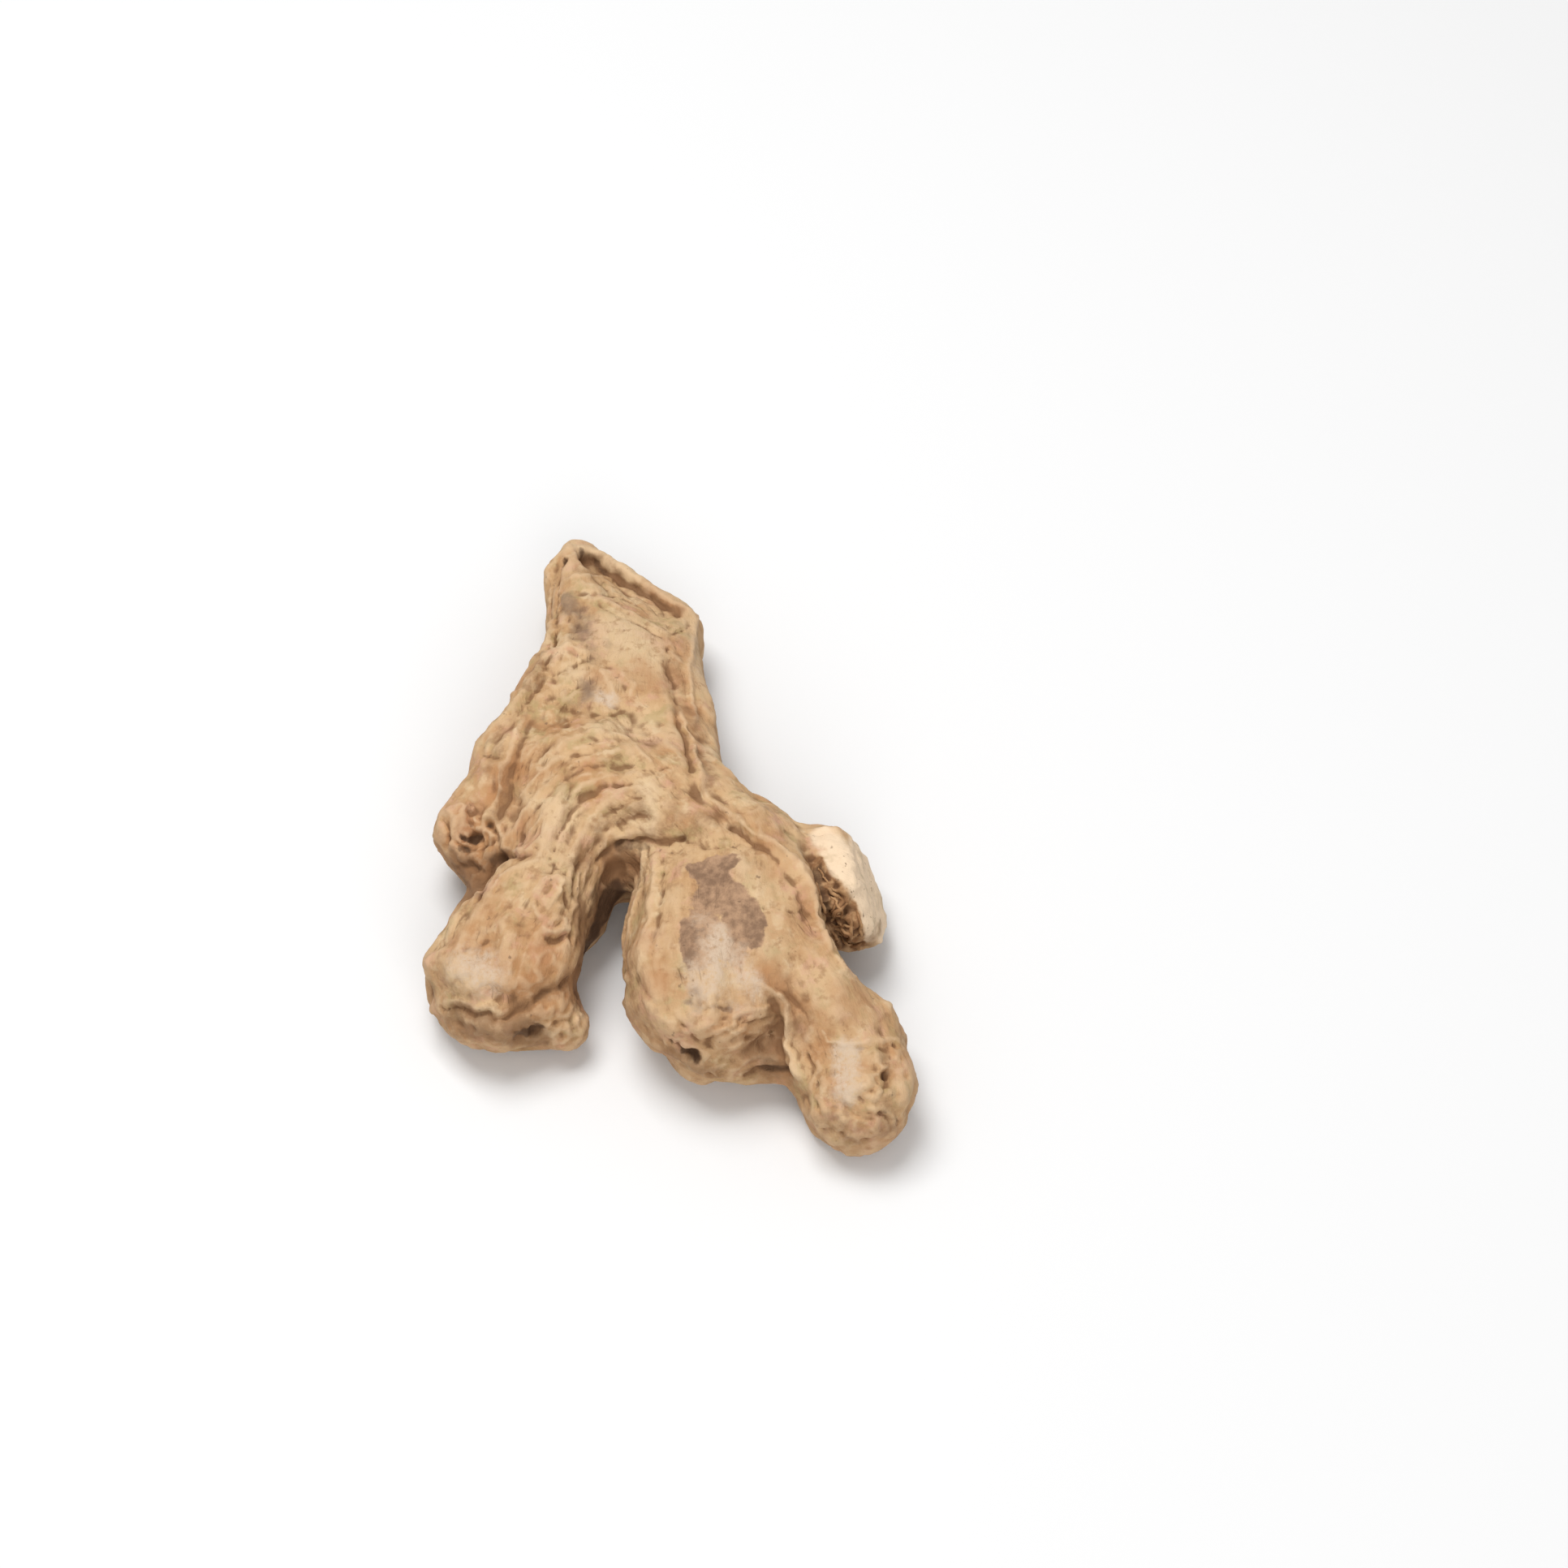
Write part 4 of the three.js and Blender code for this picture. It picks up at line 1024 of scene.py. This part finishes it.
# ---------------- materials
class Nodes:
    """Adds shader nodes to a material and links them. Its colour is built up in layers."""

    def __init__(self, name):
        self.material = bpy.data.materials.new(name)
        self.material.use_nodes = True
        self.tree = self.material.node_tree
        self.shader = self.tree.nodes["Principled BSDF"]
        self.colour = None

    def add(self, kind, inputs=None, **settings):
        node = self.tree.nodes.new("ShaderNode" + kind)
        for name, value in settings.items():
            setattr(node, name, value)
        for name, value in (inputs or {}).items():
            self.set(node.inputs[name], value)
        return node

    def set(self, socket, value):
        if isinstance(value, bpy.types.NodeSocket):
            self.tree.links.new(value, socket)
        else:
            socket.default_value = value

    def attribute(self, name, output="Fac"):
        return self.add("Attribute", attribute_name=name).outputs[output]

    def math(self, operation, a, b=0.0):
        return self.add("Math", {0: a, 1: b}, operation=operation).outputs[0]

    def ramp(self, value, low, high):
        """0 at low, 1 at high, smooth between."""
        inputs = {"Value": value, "From Min": low, "From Max": high}
        return self.add("MapRange", inputs, interpolation_type="SMOOTHSTEP").outputs["Result"]

    def mix(self, share, a, b):
        node = self.add("Mix", {0: share}, data_type="RGBA")
        colours = [socket for socket in node.inputs if socket.type == "RGBA"]
        self.set(colours[0], a)
        self.set(colours[1], b)
        return next(socket for socket in node.outputs if socket.type == "RGBA")

    def layer(self, top, share, strength=None):
        """Lays one more colour over the material's colour."""
        if strength is not None:
            share = self.math("MULTIPLY", share, strength)
        self.colour = self.mix(share, self.colour, top)

    def noise(self, vector, scale, detail=3.0, roughness=0.55):
        inputs = {"Vector": vector, "Scale": scale, "Detail": detail, "Roughness": roughness}
        return self.add("TexNoise", inputs).outputs["Fac"]

    def centred(self, value, width):
        """A noise from 0 to 1, moved to lie round 0 and scaled to a width."""
        return self.math("MULTIPLY", self.math("SUBTRACT", value, 0.5), width)

    def calmed(self, value, share):
        """A noise from 0 to 1, drawn to its middle where the share is low."""
        return self.math("ADD", self.centred(value, share), 0.5)

    def patch(self, name, fray, low, high):
        """Where a painted patch lies, with an edge that a noise frays."""
        return self.ramp(self.math("ADD", self.attribute(name), fray), low, high)

    def drawn_noise(self, vector, factors, *settings):
        """A noise drawn out along the axes whose factors are low."""
        drawn = self.add("VectorMath", {0: vector, 1: factors}, operation="MULTIPLY").outputs[0]
        return self.noise(drawn, *settings)

    def finished(self, colour, roughness, specular=0.5):
        self.set(self.shader.inputs["Base Color"], colour)
        self.set(self.shader.inputs["Roughness"], roughness)
        self.set(self.shader.inputs["Specular IOR Level"], specular)
        return self.material


def rgb(red, green, blue):
    return (red, green, blue, 1.0)


TAN = rgb(0.46, 0.270, 0.128)
PALE_TAN = rgb(0.57, 0.378, 0.203)
CREAM = rgb(0.62, 0.458, 0.275)
ROSY = rgb(0.54, 0.300, 0.190)
OLIVE = rgb(0.40, 0.285, 0.130)
DEEP_TAN = rgb(0.32, 0.175, 0.080)
ORANGE = rgb(0.40, 0.190, 0.077)
# Crests and raised folds, painted paler partly as worn skin and partly as a painted highlight.
CREST_PALE_AND_HIGHLIGHT = rgb(0.62, 0.435, 0.265)
# Painted shade for creases, crack lines and hollows.
CREASE_SHADE = rgb(0.16, 0.070, 0.026)
RUBBED_LIGHT = rgb(0.42, 0.255, 0.150)
RUBBED_DARK = rgb(0.21, 0.122, 0.071)
CHALK = rgb(0.56, 0.425, 0.305)
SMUDGE = rgb(0.180, 0.112, 0.072)
RIND_OLIVE = rgb(0.42, 0.31, 0.17)
CRUMB = rgb(0.76, 0.58, 0.40)
DIRT_AND_SHADE = rgb(0.21, 0.105, 0.046)
FLANK_SHADE = rgb(0.34, 0.175, 0.075)
STRAND = rgb(0.43, 0.25, 0.120)
STRAND_DARK = rgb(0.27, 0.135, 0.058)
TORN_GAP_SHADE = rgb(0.12, 0.055, 0.023)
HOLLOW_SHADE = rgb(0.075, 0.036, 0.016)
SPECK = rgb(0.14, 0.08, 0.045)
FLOOR = rgb(0.74, 0.74, 0.74)
WHITE = rgb(1.0, 1.0, 1.0)
# Noises of the skin's colour: scale per metre, and detail and roughness where they aren't the usual ones.
SKIN_NOISES = {
    "base": (95.0,), "warm": (150.0,), "tint": (230.0, 4.0, 0.6), "mottle": (620.0, 4.0, 0.6),
    "flank_shade": (170.0, 3.0, 0.6), "broken": (330.0, 2.0), "ragged": (420.0, 4.0, 0.65),
    "speckle": (1100.0, 3.0, 0.7), "blotches": (800.0, 3.0, 0.6), "olive": (300.0, 3.0, 0.6),
    "crumbs": (900.0, 4.0, 0.7), "specks": (700.0, 2.0), "grit": (2000.0, 3.0, 0.7),
}
# Noises drawn out along an axis: shrinking of the axes, scale, detail, roughness.
BLEACHED = [(1.0, 1.0, 1.3), 260.0, 3.0, 0.6]
STREAKS = [(0.25, 1.0, 1.0), 1.0, 4.0, 0.65]
FIBRES = [(0.35, 1.0, 1.0), 1.8, 5.0, 0.7]
# Crease lines, painted darker as shade in the hollows: field, half width, strength.
CREASE_LINES = [["X", 0.16, 0.8], ["Y", 0.16, 0.45], ["Z", 0.09, 0.25]]
CREASE_CORE = 0.01
# Shares of the finest relief.
FIBRE_RELIEF = 0.75
GRIT_RELIEF = 0.25
CRACK_RELIEF = 0.5
BUMP_STRENGTH = 0.65
BUMP_DEPTH = 0.4 * MM
SKIN_ROUGHNESS = (0.95, 0.70)  # of the pale streaks and of the deep ones
DRY_ROUGHNESS = 0.9
DRY_SPECULAR = 0.3


def skin_material():
    n = Nodes(SLOT)
    here = n.add("TexCoord").outputs["Object"]
    grain = n.attribute("grain", "Vector")
    settled = n.attribute("settled")
    noises = {name: n.noise(here, *settings) for name, settings in SKIN_NOISES.items()}
    streaks = n.calmed(n.drawn_noise(grain, *STREAKS), settled)
    tint_skin(n, here, noises, streaks)
    cracks = n.math("MULTIPLY", wear_light_and_shade(n, noises), settled)
    # Painted shade: the crack lines in the hollows are darkened.
    n.layer(CREASE_SHADE, cracks, 0.5)
    mark_skin(n, noises)
    low, high = SKIN_ROUGHNESS
    roughness = n.add("MapRange", {"Value": streaks, "To Min": low, "To Max": high}).outputs["Result"]
    fibres = n.calmed(n.drawn_noise(grain, *FIBRES), settled)
    grit = n.math("MULTIPLY", noises["grit"], GRIT_RELIEF)
    relief = n.math("ADD", n.math("MULTIPLY", fibres, FIBRE_RELIEF), grit)
    relief = n.math("SUBTRACT", relief, n.math("MULTIPLY", cracks, CRACK_RELIEF))
    bump = n.add("Bump", {"Height": relief, "Strength": BUMP_STRENGTH, "Distance": BUMP_DEPTH})
    n.set(n.shader.inputs["Normal"], bump.outputs["Normal"])
    return n.finished(n.colour, roughness, DRY_SPECULAR)


def tint_skin(n, here, noises, streaks):
    """The skin's own colour from place to place, with streaks along the branches and painted shade on skin
    that faces sideways or down.
    """
    warm, tint, mottle = (noises[name] for name in ("warm", "tint", "mottle"))
    n.colour = n.mix(n.ramp(noises["base"], 0.36, 0.64), TAN, PALE_TAN)
    n.layer(ORANGE, n.ramp(warm, 0.48, 0.70), 0.55)
    n.layer(ROSY, n.ramp(tint, 0.53, 0.66), 0.8)
    n.layer(OLIVE, n.ramp(tint, 0.47, 0.35), 0.8)
    n.layer(CREAM, n.ramp(n.drawn_noise(here, *BLEACHED), 0.55, 0.68), 0.7)
    # The pale paint is paler skin, and on the web between the fingers it is painted light that lifts the
    # colour against the shade there.
    n.layer(CREAM, n.attribute("pale"), 0.8)
    n.layer(DEEP_TAN, n.ramp(mottle, 0.52, 0.68), 0.65)
    n.layer(PALE_TAN, n.ramp(mottle, 0.46, 0.32), 0.60)
    n.layer(DEEP_TAN, n.ramp(streaks, 0.5, 0.75), 0.5)
    n.layer(PALE_TAN, n.ramp(streaks, 0.5, 0.28), 0.4)
    # The orange paint is warmer skin, and in some recesses and on some flanks it also stands for painted
    # shade.
    n.layer(ORANGE, n.attribute("orange"), n.ramp(warm, 0.25, 0.6))
    # Painted shade: skin that faces sideways or down is painted browner and darker.
    flank_shade = n.math("MULTIPLY", n.attribute("side"), n.ramp(noises["flank_shade"], 0.25, 0.65))
    n.layer(FLANK_SHADE, flank_shade, 0.6)


def wear_light_and_shade(n, noises):
    """Raised skin painted paler, partly as wear and partly as painted highlight, and hollows painted darker
    as painted shade. Returns where the skin is cracked.
    """
    fine = n.math("MULTIPLY", n.attribute("fine"), 4.2)
    lit = n.math("ADD", fine, n.math("MULTIPLY", n.attribute("broad"), 0.8))
    # Painted highlight and shade from the relief: convex skin paler, partly as wear, and hollows darker as
    # painted shade.
    n.layer(CREST_PALE_AND_HIGHLIGHT, n.ramp(lit, 0.15, 1.1), 0.38)
    n.layer(CREASE_SHADE, n.ramp(lit, -0.12, -1.3), 0.75)
    # Raised folds painted paler, partly as wear and partly as highlight; sunken creases painted darker as
    # shade.
    n.layer(CREST_PALE_AND_HIGHLIGHT, n.ramp(n.attribute("ridge"), 0.45, 1.0), 0.42)
    n.layer(CREASE_SHADE, n.ramp(n.attribute("sunken"), 0.35, 1.0), 0.8)
    sheltered = n.math("MULTIPLY", n.ramp(noises["broken"], 0.42, 0.62), n.ramp(lit, 0.15, -0.35))
    return n.math("MULTIPLY", crease_lines(n), sheltered)


def crease_lines(n):
    """Thin lines where one of the crease fields crosses zero."""
    fields = n.add("SeparateXYZ", {"Vector": n.attribute("creases", "Vector")})
    total = 0.0
    for axis, width, strength in CREASE_LINES:
        line = n.ramp(n.math("ABSOLUTE", fields.outputs[axis]), width, CREASE_CORE)
        total = n.math("MAXIMUM", total, n.math("MULTIPLY", line, strength))
    return total


def mark_skin(n, noises):
    """The painted patches: rubbed, chalky, smudged, crumbled, dirt mixed with painted shade, torn with
    painted shade between its strands, and painted shade in the deepest hollows.
    """
    speckle = noises["speckle"]
    ragged = n.centred(noises["ragged"], 1.3)
    smoky = n.math("MULTIPLY", n.attribute("smoky"), 0.6)
    smoky = n.math("ADD", smoky, n.centred(noises["blotches"], 2.6))
    rubbed = n.mix(n.ramp(smoky, -0.35, 0.95), RUBBED_LIGHT, RUBBED_DARK)
    n.layer(rubbed, n.patch("rubbed", n.centred(speckle, 1.4), 0.25, 0.75))
    n.layer(CHALK, n.patch("chalk", ragged, 0.15, 1.05), n.ramp(speckle, 0.20, 0.60))
    n.layer(SMUDGE, n.patch("smudge", ragged, 0.15, 1.2), 0.85)
    olive = n.math("MULTIPLY", n.ramp(noises["olive"], 0.50, 0.68), 0.5)
    crumb = n.mix(n.ramp(noises["crumbs"], 0.62, 0.7), n.mix(olive, CRUMB, RIND_OLIVE), SPECK)
    n.layer(crumb, n.attribute("crust"))
    # Dirt and painted shade: the browner areas stand partly for dirt and partly for shade.
    n.layer(DIRT_AND_SHADE, n.patch("dirty", ragged, 0.15, 0.9), 0.75)
    torn = n.mix(n.ramp(noises["mottle"], 0.4, 0.6), STRAND, STRAND_DARK)
    n.layer(torn, n.ramp(n.attribute("torn"), 0.1, 0.8))
    # Painted shade between the strands of the torn side.
    n.layer(TORN_GAP_SHADE, n.ramp(n.attribute("gap_shade"), 0.2, 0.9), 0.9)
    # Painted shade in the deepest hollows and pits.
    n.layer(HOLLOW_SHADE, n.patch("dark", n.math("MULTIPLY", ragged, 0.7), 0.2, 1.1))
    n.layer(SPECK, n.ramp(noises["specks"], 0.70, 0.78), 0.6)


def strand_material():
    n = Nodes("strands")
    here = n.add("TexCoord").outputs["Object"]
    colour = n.mix(n.ramp(n.noise(here, 600.0, 3.0, 0.6), 0.38, 0.62), STRAND_DARK, STRAND)
    return n.finished(colour, DRY_ROUGHNESS, DRY_SPECULAR)


def floor_material():
    return Nodes("floor").finished(FLOOR, DRY_ROUGHNESS)


# ---------------- the scene
FLOOR_SIZE = 6.0
WORLD_STRENGTH = 0.46
# Lamps over the floor: name, width, power, place in metres.
LAMPS = [["key", 0.42, 5.0, (-0.15, 0.16, 0.76)], ["fill", 0.6, 3.0, (0.10, -0.7, 0.5)]]


def make_root():
    points, triangles, values = sculpt()
    root = make_mesh("dried_skin", points, triangles)
    for name, value in values.items():
        store(root.data, name, value)
    root.data.materials.append(skin_material())
    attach(root, "root")
    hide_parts(NODE)
    fibres = make_mesh("torn_fibres", *strands(Skin(points, triangles)))
    fibres.data.materials.append(strand_material())
    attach(fibres, "root")


def make_floor():
    bpy.ops.mesh.primitive_plane_add(size=FLOOR_SIZE, location=(0, 0, 0))
    floor = bpy.context.object
    floor.name = "floor"
    floor.data.materials.append(floor_material())


def make_lights():
    world = bpy.data.worlds.new("studio")
    world.use_nodes = True
    sky = world.node_tree.nodes["Background"]
    sky.inputs["Color"].default_value = WHITE
    sky.inputs["Strength"].default_value = WORLD_STRENGTH
    bpy.context.scene.world = world
    for name, size, power, place in LAMPS:
        data = bpy.data.lights.new(name, "AREA")
        data.size = size
        data.energy = power
        lamp = bpy.data.objects.new(name, data)
        lamp.location = place
        lamp.rotation_euler = (-Vector(place)).to_track_quat("-Z", "Y").to_euler()
        bpy.context.scene.collection.objects.link(lamp)
    bpy.context.scene.view_settings.view_transform = "Standard"


make_camera()
make_root()
make_floor()
make_lights()
